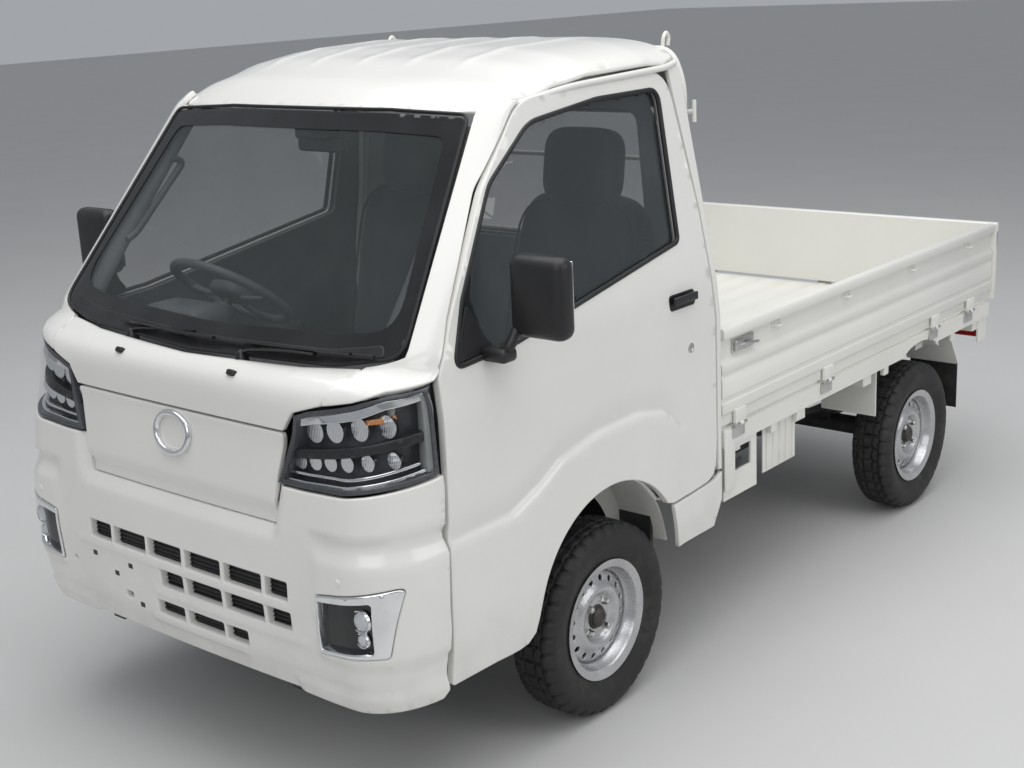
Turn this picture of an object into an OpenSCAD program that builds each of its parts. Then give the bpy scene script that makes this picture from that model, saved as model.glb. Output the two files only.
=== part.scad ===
// Cab-over light truck with a drop-side bed. Millimetres, +Z up, front towards -Y, left towards +X.
// The origin is on the ground, midway between the front and the rear ends.

/* [Overall] */
// Length from the bumper to the tailgate hinges
overall_length = 3395; // [3340:5:3450]
// Width over the bed sides
overall_width = 1475; // [1455:1:1495]
// Height of the roof above the ground
roof_height = 1780; // [1740:5:1820]
// Distance between the axles
wheelbase = 1900; // [1860:5:1940]
// Distance from the bumper to the front axle
front_overhang = 853; // [835:1:870]

/* [Wheels] */
// Outer diameter of the tyre
tyre_d = 537; // [500:1:560]
// Width of the tyre
tyre_w = 145; // [125:1:155]
// Distance between the tyres' centre planes
track = 1305; // [1280:1:1320]
// Outer diameter of the rim flange
rim_d = 336; // [310:1:350]
// Width of the rim over its flanges
rim_w = 114; // [100:1:120]
// Diameter of the circle of wheel bolts
bolt_circle = 100; // [90:1:110]
// Largest steering angle
steer_angle = 34; // [20:1:36]

/* [Cab] */
// Y of the cab's rear face
cab_back = -303; // [-330:1:-290]
// Thickness of the cab's walls
wall = 34; // [20:1:40]
// Thickness of a door
door_t = 45; // [36:1:50]
// Thickness of a door's outer edge
door_edge = 10; // [6:1:14]
// Gap round a door
door_gap = 8; // [6:0.5:9]
// Thickness of the window glass
glass_t = 5; // [3:0.5:6]

/* [Bed] */
// Height of the load floor
floor_z = 650; // [630:1:670]
// Height of the gates above the load floor
gate_h = 305; // [260:1:330]
// Inner width between the side gates
bed_inner_w = 1410; // [1390:1:1415]
// Y of the front end of the load floor
bed_front = -265; // [-280:1:-255]
// Thickness of the load floor
floor_t = 45; // [30:1:50]
// Width of the rail along a gate's top
rail_w = 32; // [26:1:32]
// Height of that rail
rail_h = 34; // [24:1:44]

/* [Chassis] */
// Distance from the centre to the middle of a frame rail
rail_x = 365; // [350:1:372]
// Width of a frame rail
frame_w = 56; // [40:1:60]

/* [Hidden] */
$fn = 64;

front_y = -overall_length / 2;
rear_y = overall_length / 2;
half_w = overall_width / 2;
axle_f = front_y + front_overhang;
axle_r = axle_f + wheelbase;
wheel_z = tyre_d / 2;
wheel_x = track / 2;
far = 3000;

body_paint = [0.93, 0.93, 0.90];
dark = [0.16, 0.17, 0.18];
black = [0.07, 0.07, 0.08];
steel = [0.62, 0.63, 0.64];
glass_tint = [0.45, 0.52, 0.52, 0.5];

// ---------------------------------------------------------------- outlines

function unit(v) = v / norm(v);

// The points of one rounded corner b between a and c.
function corner(a, b, c, r, n) =
    let (u = unit([a.x - b.x, a.y - b.y]), v = unit([c.x - b.x, c.y - b.y]),
         half = acos(max(-1, min(1, u * v))) / 2,
         m = [b.x, b.y] + unit(u + v) * r / sin(half),
         p = [b.x, b.y] + u * r / tan(half) - m,
         q = [b.x, b.y] + v * r / tan(half) - m,
         a0 = atan2(p.y, p.x), turn = atan2(q.y, q.x) - a0,
         sweep = turn > 180 ? turn - 360 : (turn < -180 ? turn + 360 : turn))
    r < 0.01 ? [[b.x, b.y]] : [for (k = [0:n]) m + r * [cos(a0 + sweep * k / n), sin(a0 + sweep * k / n)]];

// A closed outline from corners given as [u, v, radius].
function rounded(p, n = 5) =
    let (c = len(p)) [for (i = [0:c - 1]) each corner(p[(i + c - 1) % c], p[i], p[(i + 1) % c], p[i][2], n)];

// The same corners with their mirror images about u = 0; a corner at u = 0 is used once.
function both(half) = concat(half, [for (i = [len(half) - 1:-1:0]) if (half[i].x > 0)
    [-half[i].x, half[i].y, half[i][2]]]);

// Extrusions of an outline in the side view (Y, Z), the front view (X, Z) and the plan (X, Y).
module across(x0, x1) translate([x0, 0, 0]) rotate([90, 0, 90]) linear_extrude(x1 - x0) children();
module along(y0, y1) translate([0, y1, 0]) rotate([90, 0, 0]) linear_extrude(y1 - y0) children();
module up(z0, z1) translate([0, 0, z0]) linear_extrude(z1 - z0) children();
module box(x, y, z) translate([x[0], y[0], z[0]]) cube([x[1] - x[0], y[1] - y[0], z[1] - z[0]]);
module sides() { children(); mirror([1, 0, 0]) children(); }

// ---------------------------------------------------------------- cab form

belt_z = 1112;
screen_foot = [-1562, 1104];
screen_head = [-1138, 1640];
side_top = 612;

// The cab seen from the side, from the bumper's lower edge round over the roof.
function cab_side(low) = rounded([
    [front_y + 34, low, 0], [front_y + 28, 326, 12], [front_y + 5, 400, 60], [front_y, 560, 200],
    [front_y + 8, 742, 80], [front_y + 42, 967, 200], [front_y + 40, 1030, 60], [front_y + 62, 1078, 30],
    [screen_foot.x, screen_foot.y, 24], [screen_head.x, screen_head.y, 60],
    [-1038, roof_height - 70, 150], [-760, roof_height, 300], [cab_back + 6, roof_height - 8, 70],
    [cab_back, 1100, 0], [cab_back, low, 0]]);

// The cab seen from the front.
function cab_front(low) = rounded(both([
    [0, roof_height + 3, 0], [430, roof_height - 8, 300], [575, roof_height - 34, 60], [side_top, 1680, 60],
    [half_w - 13, belt_z, 90], [half_w, 1000, 100], [half_w, 440, 100], [half_w - 12, 318, 0], [half_w - 30, low, 0]]));

// The cab seen from above.
function cab_plan() = rounded(both([
    [0, front_y, 0], [350, front_y + 5, 300], [704, front_y + 24, 130], [half_w, -1350, 200],
    [half_w, cab_back, 0]]));

module cab_solid(t = 0, low = 318) intersection() {
    across(-far, far) offset(delta = -t) polygon(cab_side(low));
    along(-far, far) offset(delta = -t) polygon(cab_front(low));
    up(-far, far) offset(delta = -t) polygon(cab_plan());
}

module cab_walls(t = wall) difference() {
    cab_solid();
    cab_solid(t, 50);
}

// ---------------------------------------------------------------- cab openings

shut_low = [-1484, 338];
shut_high = [-1465, 866];
arch_r = 318;
arch_z = 340;
hinge_y = -1417;
hinge_x = 722;
hinge_z = [560, 960];
barrel = 7;
pin = 4;
pin_fit = 0.06;

door_outline = rounded([
    [shut_low.x + door_gap, 341, 12], [shut_high.x + door_gap, shut_high.y, 400],
    [shut_high.x + door_gap, 1090, 60], [-1386, 1210, 200], [-1198, 1475, 200],
    [-1010, 1662, 170], [-640, 1690, 300], [-372, 1684, 90], [-332, 1300, 0], [-327, 640, 40], [-335, 528, 70],
    [-470, 519, 40], [-561, 519, 0], [-845, 200, 0], [-1232, 200, 0], [-1232, 341, 0]]);

window_outline = rounded([
    [-1392, 1108, 14], [-1330, 1240, 80], [-1165, 1478, 120], [-985, 1600, 150], [-700, 1630, 300],
    [-432, 1632, 30], [-462, 1240, 14], [-1180, 1122, 100]]);

// Everything ahead of the doors' front shut lines.
module front_zone(gap = 0, top = 1100) across(-far, far) polygon([
    [-1800, 0], [shut_low.x - gap, 0], shut_low - [gap, 0], shut_high - [gap, 0], [shut_high.x - gap, top],
    [-1800, top]]);

module arch_shape() {
    translate([axle_f, arch_z]) circle(arch_r);
    polygon([[axle_f - arch_r + 4, arch_z + 50], [axle_f - arch_r - 64, 100], [axle_f + arch_r - 20, 100],
             [axle_f + arch_r - 2, arch_z + 30]]);
}

screen_outline = rounded(both([
    [0, 1650, 0], [300, 1648, 0], [556, 1632, 26], [646, 1140, 40], [480, 1112, 300], [0, 1100, 0]]));

rear_window_outline = rounded(both([[0, 1560, 0], [470, 1560, 50], [500, 1190, 50], [0, 1190, 0]]));

lid_z = 967;
lid_x = 407;
ledge_z = 738;
ledge_x = 366;
lamp_in_low = [381, 842];
lamp_in_high = [432, 1011];
lamp_out_high = [760, 1100];
lamp_out_low = [760, 868];
cowl_x = 520;

lamp_outline = rounded([
    [lamp_in_low.x, lamp_in_low.y, 10], [lamp_in_high.x, lamp_in_high.y, 8],
    [lamp_out_high.x, lamp_out_high.y, 0], [lamp_out_low.x, lamp_out_low.y, 0], [600, 844, 150]]);
lid_outline = rounded(both([[lid_x, lid_z, 0], [lamp_in_low.x, lamp_in_low.y, 0], [ledge_x, ledge_z, 0]]));
cowl_outline = rounded(both([[600, 1180, 0], [cowl_x + 45, 1118, 0], [cowl_x, lamp_in_high.y + 26, 0],
                             [lamp_in_high.x, lamp_in_high.y, 0], [lid_x, lid_z, 0]]));
bumper_outline = rounded(both([[ledge_x, ledge_z, 0], [lamp_in_low.x, lamp_in_low.y, 0], [600, 842, 0],
                               [lamp_out_low.x, lamp_out_low.y, 0], [760, 200, 0]]));

// ---------------------------------------------------------------- cab pieces

module roof() color(body_paint) difference() {
    intersection() {
        cab_walls(26);
        along(-1080, cab_back + 1) polygon([[-548, 1600], [548, 1600], [548, 1900], [-548, 1900]]);
    }
    along(-far, -300) polygon([[-548, 1500], [548, 1500], [548, 1668], [-548, 1668]]);
}

module hinge_arms() for (z = hinge_z) {
    box([644, hinge_x], [hinge_y - 5, hinge_y + 5], [z - 16, z + 16]);
    translate([hinge_x, hinge_y, z - 16]) cylinder(r = barrel, h = 32);
    translate([hinge_x, hinge_y, z - 34]) cylinder(r = pin, h = 68);
}

module cab_shell() color(body_paint) {
    difference() {
        cab_walls();
        sides() {
            across(0, far) offset(delta = door_gap) difference() {
                polygon(door_outline);
                arch_shape();
            }
            // The door's top moves back as it opens, so the gap is wider there.
            across(0, far) polygon([[-500, 1280], [-318, 1280], [-345, 1640], [-500, 1640]]);
            across(0, far) arch_shape();
            // The quarter panel's lower rear corner rises to the frame.
            across(0, far) polygon([[-560, 200], [-280, 200], [-280, 452], [-305, 448], [-339, 372], [-560, 372]]);
        }
        along(-1720, -1060) polygon(screen_outline);
        along(-400, far) polygon(rear_window_outline);
        front_zone();
        along(-1720, -1440) polygon(cowl_outline);
        box([-549, 549], [-1081, cab_back + 5], [1668, 1900]);
        box([-660, 660], [-1720, -340], [200, 655]);
        // Passage for the gearbox.
        box([-140, 140], [-400, far], [300, 512]);
    }
    // Hinge pillars with sills, their arms, and the feet that join them to the windscreen pillars.
    sides() box([600, 644], [-1535, -1394], [320, 1068]);
    sides() box([640, 725], [-1480, -1240], [320, 333]);
    sides() hinge_arms();
    intersection() {
        sides() {
            box([600, 644], [-1535, -1440], [1060, 1160]);
            box([600, 715], [-1535, -1490], [1102, 1160]);
        }
        cab_solid(8);
    }
}

module cab_floor() color([0.30, 0.31, 0.32]) difference() {
    union() {
        across(-600, 600) polygon([
            [-1610, 560], [-1500, 352], [-1154, 352], [-1154, 640], [-337, 640], [-337, 670], [-1184, 670],
            [-1184, 382], [-1480, 382], [-1580, 575], [-1580, 825], [-1610, 825]]);
        box([-370, 370], [-1610, -1580], [820, 1000]);
        // Inner walls of the wheel wells, the walls behind them, and the outer edges under the seats.
        sides() box([398, 410], [-1154, axle_f + 312], [352, 640]);
        sides() box([410, 648], [axle_f + 300, axle_f + 312], [360, 640]);
        sides() box([600, 660], [-1184, -337], [655, 670]);
        sides() box([600, 648], [-1394, -1184], [352, 382]);
        // Turrets that take the tops of the front struts.
        sides() strut_line() translate([0, 0, 440]) cylinder(r = 62, h = 65);
    }
    sides() strut_line() translate([0, 0, 300]) cylinder(r = 50, h = 158);
    sides() strut_line() translate([0, 0, 440]) cylinder(r = 15.4, h = 54);
}

module windshield() color(glass_tint) intersection() {
    along(-1720, -1060) polygon(screen_outline);
    difference() { cab_solid(1); cab_solid(1 + glass_t); }
    across(-far, far) polygon([[-1700, 1098], [-1560, 1098], [-1500, 1098], [-1080, 1600], [-1060, 1700],
                               [-1120, 1700], [-1700, 1150]]);
}

module rear_window() color(glass_tint)
    along(cab_back - 20, cab_back - 20 + glass_t) polygon(rear_window_outline);

module cowl_panel() color(body_paint) difference() {
    intersection() {
        cab_walls(24);
        along(-1720, -1500) polygon(cowl_outline);
    }
    along(-1720, -1060) polygon(screen_outline);
}

module front_lid() color(body_paint) intersection() {
    cab_walls(20);
    along(-1720, -1560) polygon(rounded(both([
        [lid_x - 3, lid_z - 4, 10], [lamp_in_low.x - 3, lamp_in_low.y, 0], [ledge_x - 3, ledge_z + 0.3, 8]])));
}

fog_opening = rounded([[531, 606, 8], [690, 606, 10], [690, 470, 10], [531, 470, 8]]);

plate_hole = [-225, 505];
plate_pitch = 210;

module front_bumper() color(body_paint) difference() {
    union() {
        intersection() {
            cab_walls(28);
            front_zone();
            along(-1720, -1400) polygon(bumper_outline);
        }
        // Brackets on the frame's front ends.
        sides() box([rail_x - 20, rail_x + 20], [-1660, -1570], [345.2, 380]);
    }
    for (d = [-plate_pitch / 2, plate_pitch / 2]) translate([plate_hole.x + d, -1720, plate_hole.y])
        rotate([-90, 0, 0]) cylinder(r = 3.5, h = 120);
    // Grille slots: the lower two rows leave room for the number plate.
    box([-392, 392], [-1720, -1600], [566, 608]);
    box([-60, 392], [-1720, -1600], [500, 540]);
    box([-60, 290], [-1720, -1600], [436, 474]);
    sides() along(-1720, -1600) polygon(fog_opening);
}

module headlamps() sides() color([0.3, 0.31, 0.33]) {
    intersection() {
        cab_walls(70);
        front_zone();
        along(-1720, -1400) offset(delta = -3) polygon(lamp_outline);
        up(-far, far) polygon([[300, -1720], [760, -1720], [760, -1400], [700, -1400], [694, -1512], [560, -1594],
                               [300, -1590]]);
    }
    // Bracket back to the hinge pillar.
    box([606, 638], [-1600, -1535.2], [900, 940]);
}

module fog_lamps() sides() color(black) intersection() {
    cab_walls(60);
    along(-1720, -1600) polygon(fog_opening);
}

wiper_pivot = [[-258, -1570, 1088], [188, -1578, 1088]];

module wipers() color(black) difference() {
    for (p = wiper_pivot) translate(p) {
        translate([0, 0, -20]) cylinder(r = 13, h = 46);
        hull() {
            translate([0, 0, 14]) cylinder(r = 11, h = 12, $fn = 24);
            translate([165, 15, 32]) cylinder(r = 6, h = 8, $fn = 24);
        }
        hull() {
            translate([-30, 33, 36]) cylinder(r = 5, h = 12, $fn = 16);
            translate([400, 12, 30]) cylinder(r = 5, h = 12, $fn = 16);
        }
    }
    cab_solid();
}

module dashboard() color(dark) {
    across(-599, 599) polygon(rounded([[-1555, 1020, 10], [-1500, 1072, 40], [-1380, 1092, 60], [-1270, 1040, 50],
                                       [-1262, 940, 30], [-1330, 800, 40], [-1555, 800, 0]]));
    // Steering column.
    translate(wheel_hub) rotate([-column_tilt, 0, 0]) translate([0, 0, -330]) cylinder(r = 34, h = 290);
    translate(wheel_hub) rotate([-column_tilt, 0, 0]) translate([0, 0, -44]) cylinder(r = 14, h = 36);
}

seat_x = 330;

module seats() color([0.22, 0.24, 0.26]) sides() translate([seat_x, 0, 0]) {
    across(-235, 235) polygon(rounded([[-1010, 670, 20], [-1010, 790, 50], [-520, 760, 30], [-470, 670, 10]]));
    across(-225, 225) polygon(rounded([[-540, 765, 20], [-466, 700, 10], [-352, 1260, 30], [-358, 1330, 40],
                                       [-462, 1330, 30]]));
    across(-135, 135) polygon(rounded([[-462, 1325, 8], [-358, 1325, 8], [-350, 1530, 40], [-430, 1530, 40]]));
}

column_tilt = 38;
wheel_hub = [-seat_x, -1170, 1130];

module steering_wheel() color(dark) translate(wheel_hub) rotate([-column_tilt, 0, 0]) {
    rotate_extrude() translate([172, 0]) circle(13);
    difference() {
        union() {
            translate([0, 0, -18]) cylinder(r = 52, h = 26);
            for (a = [0, 90, 180]) rotate([0, 0, a]) translate([40, -14, -14]) cube([125, 28, 12]);
        }
        translate([0, 0, -45]) cylinder(r = 14.06, h = 40);
    }
}

// ---------------------------------------------------------------- doors

module door_layer(t, inset) difference() {
    intersection() {
        cab_solid();
        across(0, far) offset(delta = -inset) difference() {
            polygon(door_outline);
            arch_shape();
        }
    }
    along(-far, far) offset(delta = -t) polygon(cab_front(50));
}

module door() difference() {
    union() {
        door_layer(door_edge, 0);
        door_layer(door_t, 13);
        for (z = hinge_z) translate([hinge_x, hinge_y, z - 40]) cylinder(r = barrel, h = 80);
    }
    across(0, far) polygon(window_outline);
    for (z = hinge_z) {
        difference() {
            box([640, 733], [-1500, hinge_y + 22], [z - 40, z + 40]);
            translate([hinge_x, hinge_y, z + 21]) cylinder(r = barrel, h = 30);
            translate([hinge_x, hinge_y, z - 51]) cylinder(r = barrel, h = 30);
        }
        translate([hinge_x, hinge_y, z - 37]) cylinder(r = pin + pin_fit, h = 74);
    }
}

module door_glass() color(glass_tint) intersection() {
    across(0, far) polygon(window_outline);
    difference() {
        along(-far, far) offset(delta = -15) polygon(cab_front(262));
        along(-far, far) offset(delta = -15 - glass_t) polygon(cab_front(262));
    }
}

mirror_y = -1230;
mirror_z = [1150, 1345];
mirror_x = [765, 926];

module mirror_head() color(black) {
    translate([0, mirror_y - 32, 0]) hull() for (x = mirror_x, z = mirror_z)
        translate([x + (x < 800 ? 28 : -28), 0, z + (z < 1200 ? 28 : -28)]) rotate([-90, 0, 0])
            cylinder(r = 28, h = 62, $fn = 32);
    box([700, 790], [mirror_y - 76, mirror_y - 20], [1094, 1132]);
    box([768, 790], [mirror_y - 76, mirror_y - 20], [1110, 1180]);
}

module mirror_piece() difference() {
    mirror_head();
    cab_solid();
}

// ---------------------------------------------------------------- running gear

kingpin_low = [610, 150];
kingpin_high = [500, 700];
kingpin_lean = atan2(kingpin_low.x - kingpin_high.x, kingpin_high.y - kingpin_low.y);

// Puts its children on the left steering axis, with z = 0 at the lower ball joint.
module strut_line() translate([kingpin_low.x, axle_f, kingpin_low.y]) rotate([0, -kingpin_lean, 0]) children();

hub_bore = 30;
stub_r = 17;

module knuckle() color([0.24, 0.25, 0.26]) {
    // Stub axle, hub carrier and brake plate.
    translate([540, axle_f, wheel_z]) rotate([0, 90, 0]) cylinder(r = 46, h = 56);
    translate([560, axle_f, wheel_z]) rotate([0, 90, 0]) cylinder(r = stub_r, h = 84);
    translate([590, axle_f, wheel_z]) rotate([0, 90, 0]) cylinder(r = 98, h = 8);
    // Ball joint boss, strut leg and the strut itself.
    box([552, 592], [axle_f - 24, axle_f + 24], [168, 240]);
    difference() {
        strut_line() translate([0, 0, 14]) cylinder(r = 20, h = 60);
        box([596, 700], [axle_f - 60, axle_f + 60], [140, 240]);
    }
    box([522, 566], [axle_f - 26, axle_f + 26], [240, 380]);
    translate([-28, 0, 0]) strut_line() translate([0, 0, 160]) cylinder(r = 24, h = 200);
    translate([-22, 0, 0]) strut_line() translate([0, 0, 358]) cylinder(r = 44, h = 14);
    strut_line() translate([0, 0, 372]) cylinder(r = 36, h = 80);
    strut_line() translate([0, 0, 445]) cylinder(r = 15, h = 44);
    // Steering arm.
    box([500, 560], [axle_f + 20, axle_f + 150], [226, 246]);
}

module tyre() color([0.09, 0.09, 0.10]) rotate([0, 90, 0]) rotate_extrude($fn = 96)
    polygon(rounded([
        [rim_d / 2 - 22, -rim_w / 2 + 9, 4], [rim_d / 2 + 6, -rim_w / 2 + 5, 6], [tyre_d / 2 - 62, -tyre_w / 2, 30],
        [tyre_d / 2 - 14, -tyre_w / 2 + 8, 14], [tyre_d / 2 + 0.01, -tyre_w / 2 + 24, 20],
        [tyre_d / 2 + 0.01, tyre_w / 2 - 24, 20], [tyre_d / 2 - 14, tyre_w / 2 - 8, 14],
        [tyre_d / 2 - 62, tyre_w / 2, 30], [rim_d / 2 + 6, rim_w / 2 - 5, 6], [rim_d / 2 - 22, rim_w / 2 - 9, 4],
        [rim_d / 2 - 16, 0, 20]], 4));

// A pressed steel rim with its outer side towards +X.
module rim() color(steel) difference() {
    rotate([0, 90, 0]) rotate_extrude($fn = 96) polygon([
        [rim_d / 2, -rim_w / 2], [rim_d / 2, -rim_w / 2 + 5], [rim_d / 2 - 23, -rim_w / 2 + 9],
        [rim_d / 2 - 24, -14], [rim_d / 2 - 36, -6], [rim_d / 2 - 36, 18], [rim_d / 2 - 24, 28],
        [rim_d / 2 - 23, rim_w / 2 - 9], [rim_d / 2, rim_w / 2 - 5], [rim_d / 2, rim_w / 2],
        [rim_d / 2 - 27, rim_w / 2 - 4], [rim_d / 2 - 28, 32], [rim_d / 2 - 42, 22], [rim_d / 2 - 42, 20],
        [98, 24], [88, 38], [70, 38], [60, 20], [stub_r + 13, 20], [stub_r + 13, 14], [64, 14], [74, 31], [86, 31],
        [94, 17], [rim_d / 2 - 42, 13], [rim_d / 2 - 42, -10], [rim_d / 2 - 30, -20], [rim_d / 2 - 28, -rim_w / 2 + 4]]);
    for (i = [0:19]) rotate([i * 18 + 9, 0, 0]) translate([0, 0, 110]) rotate([0, 90, 0])
        cylinder(r = 9, h = 80, center = true);
    for (i = [0:3]) rotate([i * 90 + 45, 0, 0]) translate([0, 0, bolt_circle / 2]) rotate([0, 90, 0])
        cylinder(r = 6, h = 80, center = true);
}

// Hub: a drum that turns with the wheel on the stub axle.
module hub() color(dark) difference() {
    union() {
        translate([-30, 0, 0]) rotate([0, 90, 0]) cylinder(r = 40, h = 44);
        translate([10, 0, 0]) rotate([0, 90, 0]) cylinder(r = 66, h = 4);
        translate([12, 0, 0]) rotate([0, 90, 0]) cylinder(r = stub_r + 13, h = 30);
    }
    translate([-31, 0, 0]) rotate([0, 90, 0]) cylinder(r = stub_r + 0.08, h = 40);
    for (i = [0:3]) rotate([i * 90 + 45, 0, 0]) translate([0, 0, bolt_circle / 2]) rotate([0, 90, 0])
        cylinder(r = 6, h = 80, center = true);
}

module place_wheel(side, y) translate([side * wheel_x, y, wheel_z]) mirror([side < 0 ? 1 : 0, 0, 0]) children();

module rear_axle() color([0.2, 0.21, 0.22]) {
    translate([-600, axle_r, wheel_z]) rotate([0, 90, 0]) cylinder(r = 34, h = 1200);
    translate([-70, axle_r, wheel_z]) rotate([0, 90, 0]) cylinder(r = 108, h = 140);
    translate([0, axle_r - 90, wheel_z]) rotate([90, 0, 0]) cylinder(r = 44, h = 90);
    sides() translate([596, axle_r, wheel_z]) rotate([0, 90, 0]) cylinder(r = 100, h = 6);
    sides() translate([600, axle_r, wheel_z]) rotate([0, 90, 0]) cylinder(r = stub_r, h = 44);
    sides() box([rail_x - 30, rail_x + 30], [axle_r - 50, axle_r + 50], [wheel_z + 28, wheel_z + 46]);
}

spring_half = 470;
spring_rise = 74;
spring_z = wheel_z + 46;
spring_t = 26;

function arc_z(u) = spring_z + spring_rise * pow(u, 2);

module leaf_springs() color([0.18, 0.18, 0.19]) sides() across(rail_x - 26, rail_x + 26)
    polygon(concat([for (i = [-12:12]) [axle_r + spring_half * i / 12, arc_z(i / 12)]],
                   [for (i = [12:-1:-12]) [axle_r + spring_half * i / 12, arc_z(i / 12) + spring_t]]));

frame_in = rail_x - frame_w / 2 - 0.2;
// The right-hand towing eyes stand this far behind the left-hand ones.
eye_step = 8;
frame_high = [462, 552];

module chassis_frame() color([0.25, 0.26, 0.27]) {
    sides() across(rail_x - frame_w / 2, rail_x + frame_w / 2) polygon(rounded([
        [-1560, 300, 0], [-300, 300, 100], [-60, frame_high[0], 100], [1640, frame_high[0], 0],
        [1640, frame_high[1], 0], [-120, frame_high[1], 100], [-330, 345, 80], [-1560, 345, 0]]));
    for (y = [-1550, -1120, -420]) box([-frame_in, frame_in], [y, y + 60], [302, 343]);
    for (y = [120, 640, 1180, 1570]) box([-frame_in, frame_in], [y, y + 60], [frame_high[0] + 4, frame_high[1] - 4]);
    // Spring hangers.
    for (s = [-1, 1]) sides()
        box([rail_x - 26, rail_x + 26], [axle_r + s * spring_half - 24, axle_r + s * spring_half + 24],
            [arc_z(1) + spring_t + 0.3, frame_high[0] - 0.2]);
    // Irons for the front bumper, and the cab's mounts.
    sides() box([rail_x - 24, rail_x + 24], [-1640, -1560.2], [302, 345]);
    sides() box([rail_x - 20, rail_x + 20], [-1400, -1340], [345.2, 352]);
    sides() box([rail_x - 20, rail_x + 20], [-415, -355], [345.2, 640]);
    // Towing eyes under both ends.
    for (p = tow_eye, s = [0, 1]) mirror([s, 0, 0]) translate([0, s * eye_step, 0]) difference() {
        hull() {
            translate([rail_x - 6, p.x, p.y]) rotate([0, 90, 0]) cylinder(r = 26, h = 12, $fn = 32);
            box([rail_x - 6, rail_x + 6], [p.x - 30, p.x + 30], [p[2], p[2] + 6]);
        }
        translate([rail_x - 10, p.x, p.y]) rotate([0, 90, 0]) cylinder(r = 14, h = 20);
    }
}

// Y and Z of each towing eye's bore, and the height of the metal above it.
tow_eye = [[-1520, 262, 298], [1590, 424, 460]];

module front_arms() color([0.22, 0.22, 0.23]) sides() {
    hull() {
        translate([rail_x - 10, axle_f - 60, 262]) cylinder(r = 24, h = 37.8, $fn = 32);
        translate([490, axle_f - 20, 148]) cylinder(r = 22, h = 18, $fn = 32);
    }
    hull() {
        translate([490, axle_f - 20, 148]) cylinder(r = 22, h = 18, $fn = 32);
        translate([kingpin_low.x - 6, axle_f, 136]) cylinder(r = 18, h = 14, $fn = 32);
    }
    box([rail_x - 30, rail_x + 20], [axle_f - 84, axle_f + 100], [262, 300]);
    // Ball stud under the knuckle.
    strut_line() translate([0, 0, -12]) cylinder(r = 14, h = 25.7);
}

module engine() color([0.35, 0.35, 0.36]) {
    box([-230, 230], [-1060, -520], [320, 600]);
    box([-130, 130], [-520, -200], [343, 500]);
}

// A sloping tube cut square at the gearbox and at the differential.
module propeller_shaft() color([0.3, 0.3, 0.31]) intersection() {
    translate([0, -200, 400]) rotate([-90 - atan2(400 - wheel_z, axle_r - 180 + 200), 0, 0])
        translate([0, 0, -60]) cylinder(r = 28, h = axle_r + 400);
    box([-60, 60], [-200, axle_r - 180], [100, 600]);
}

module fuel_tank() color([0.2, 0.2, 0.2])
    box([70, rail_x], [-10, 470], [330, 462]);

module muffler() color([0.5, 0.49, 0.47]) {
    translate([-200, 120, 399.8]) rotate([-90, 0, 0]) cylinder(r = 66, h = 420);
    translate([-200, 535, 399.8]) rotate([-90, 0, 0]) cylinder(r = 19, h = 240);
    translate([-200, -190, 399.8]) rotate([-90, 0, 0]) cylinder(r = 19, h = 315);
}

// ---------------------------------------------------------------- bed

gate_in = bed_inner_w / 2;
gate_hinge = [half_w - 6.5, floor_z + 2];
gate_rear = rear_y - 38;
gate_front = bed_front - 18;
gate_top = floor_z + gate_h;
barrel_r = 6.5;
hinge_places = [-188, 351, 1158, 1466];

// Section of a gate, with u outwards from its inner face and v up from the hinge axis.
function gate_section() = rounded([
    [0, 9, 0], [14, 9, 2], [14, 40, 4], [24, 48, 4], [24, 196, 8], [10, 206, 8], [10, gate_h - rail_h - 2, 2],
    [rail_w, gate_h - rail_h - 2, 6], [rail_w, gate_h - 2, 9], [0, gate_h - 2, 3]], 3);

// Hinge leaf and barrel of a gate, standing on the hinge axis along Y.
module gate_leaf(y) {
    translate([gate_hinge.x, y - 30, gate_hinge.y]) rotate([-90, 0, 0]) cylinder(r = barrel_r, h = 20);
    translate([gate_hinge.x, y + 10, gate_hinge.y]) rotate([-90, 0, 0]) cylinder(r = barrel_r, h = 20);
    for (d = [-30, 10]) box([gate_hinge.x - 10, gate_hinge.x], [y + d, y + d + 20], [gate_hinge.y, gate_hinge.y + 26]);
}

module gate_bore(y) translate([gate_hinge.x, y - 40, gate_hinge.y]) rotate([-90, 0, 0])
    cylinder(r = 3.05, h = 80);

module side_gate() color(body_paint) difference() {
    union() {
        translate([gate_in, 0, gate_hinge.y]) along(gate_front, gate_rear) polygon(gate_section());
        intersection() {
            for (y = hinge_places) gate_leaf(y);
            box([gate_hinge.x - 10, far], [-far, far], [0, gate_hinge.y + 24]);
        }
        for (y = hinge_places) box([gate_in + 8, gate_hinge.x], [y - 30, y - 10], [gate_hinge.y + 9, gate_hinge.y + 26]);
        for (y = hinge_places) box([gate_in + 8, gate_hinge.x], [y + 10, y + 30], [gate_hinge.y + 9, gate_hinge.y + 26]);
    }
    for (y = hinge_places) gate_bore(y);
}

// Body side of a gate hinge: a middle barrel on a bracket, with its pin.
module hinge_base(y) {
    translate([gate_hinge.x, y - 9, gate_hinge.y]) rotate([-90, 0, 0]) cylinder(r = barrel_r, h = 18);
    translate([gate_hinge.x, y - 29, gate_hinge.y]) rotate([-90, 0, 0]) cylinder(r = 3, h = 58);
    box([gate_in + 6, gate_hinge.x], [y - 9, y + 9], [gate_hinge.y - 6.5, gate_hinge.y - 0.5]);
}

tail_hinges = [-560, 0, 560];
tail_y = rear_y - 6.5;

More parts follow.
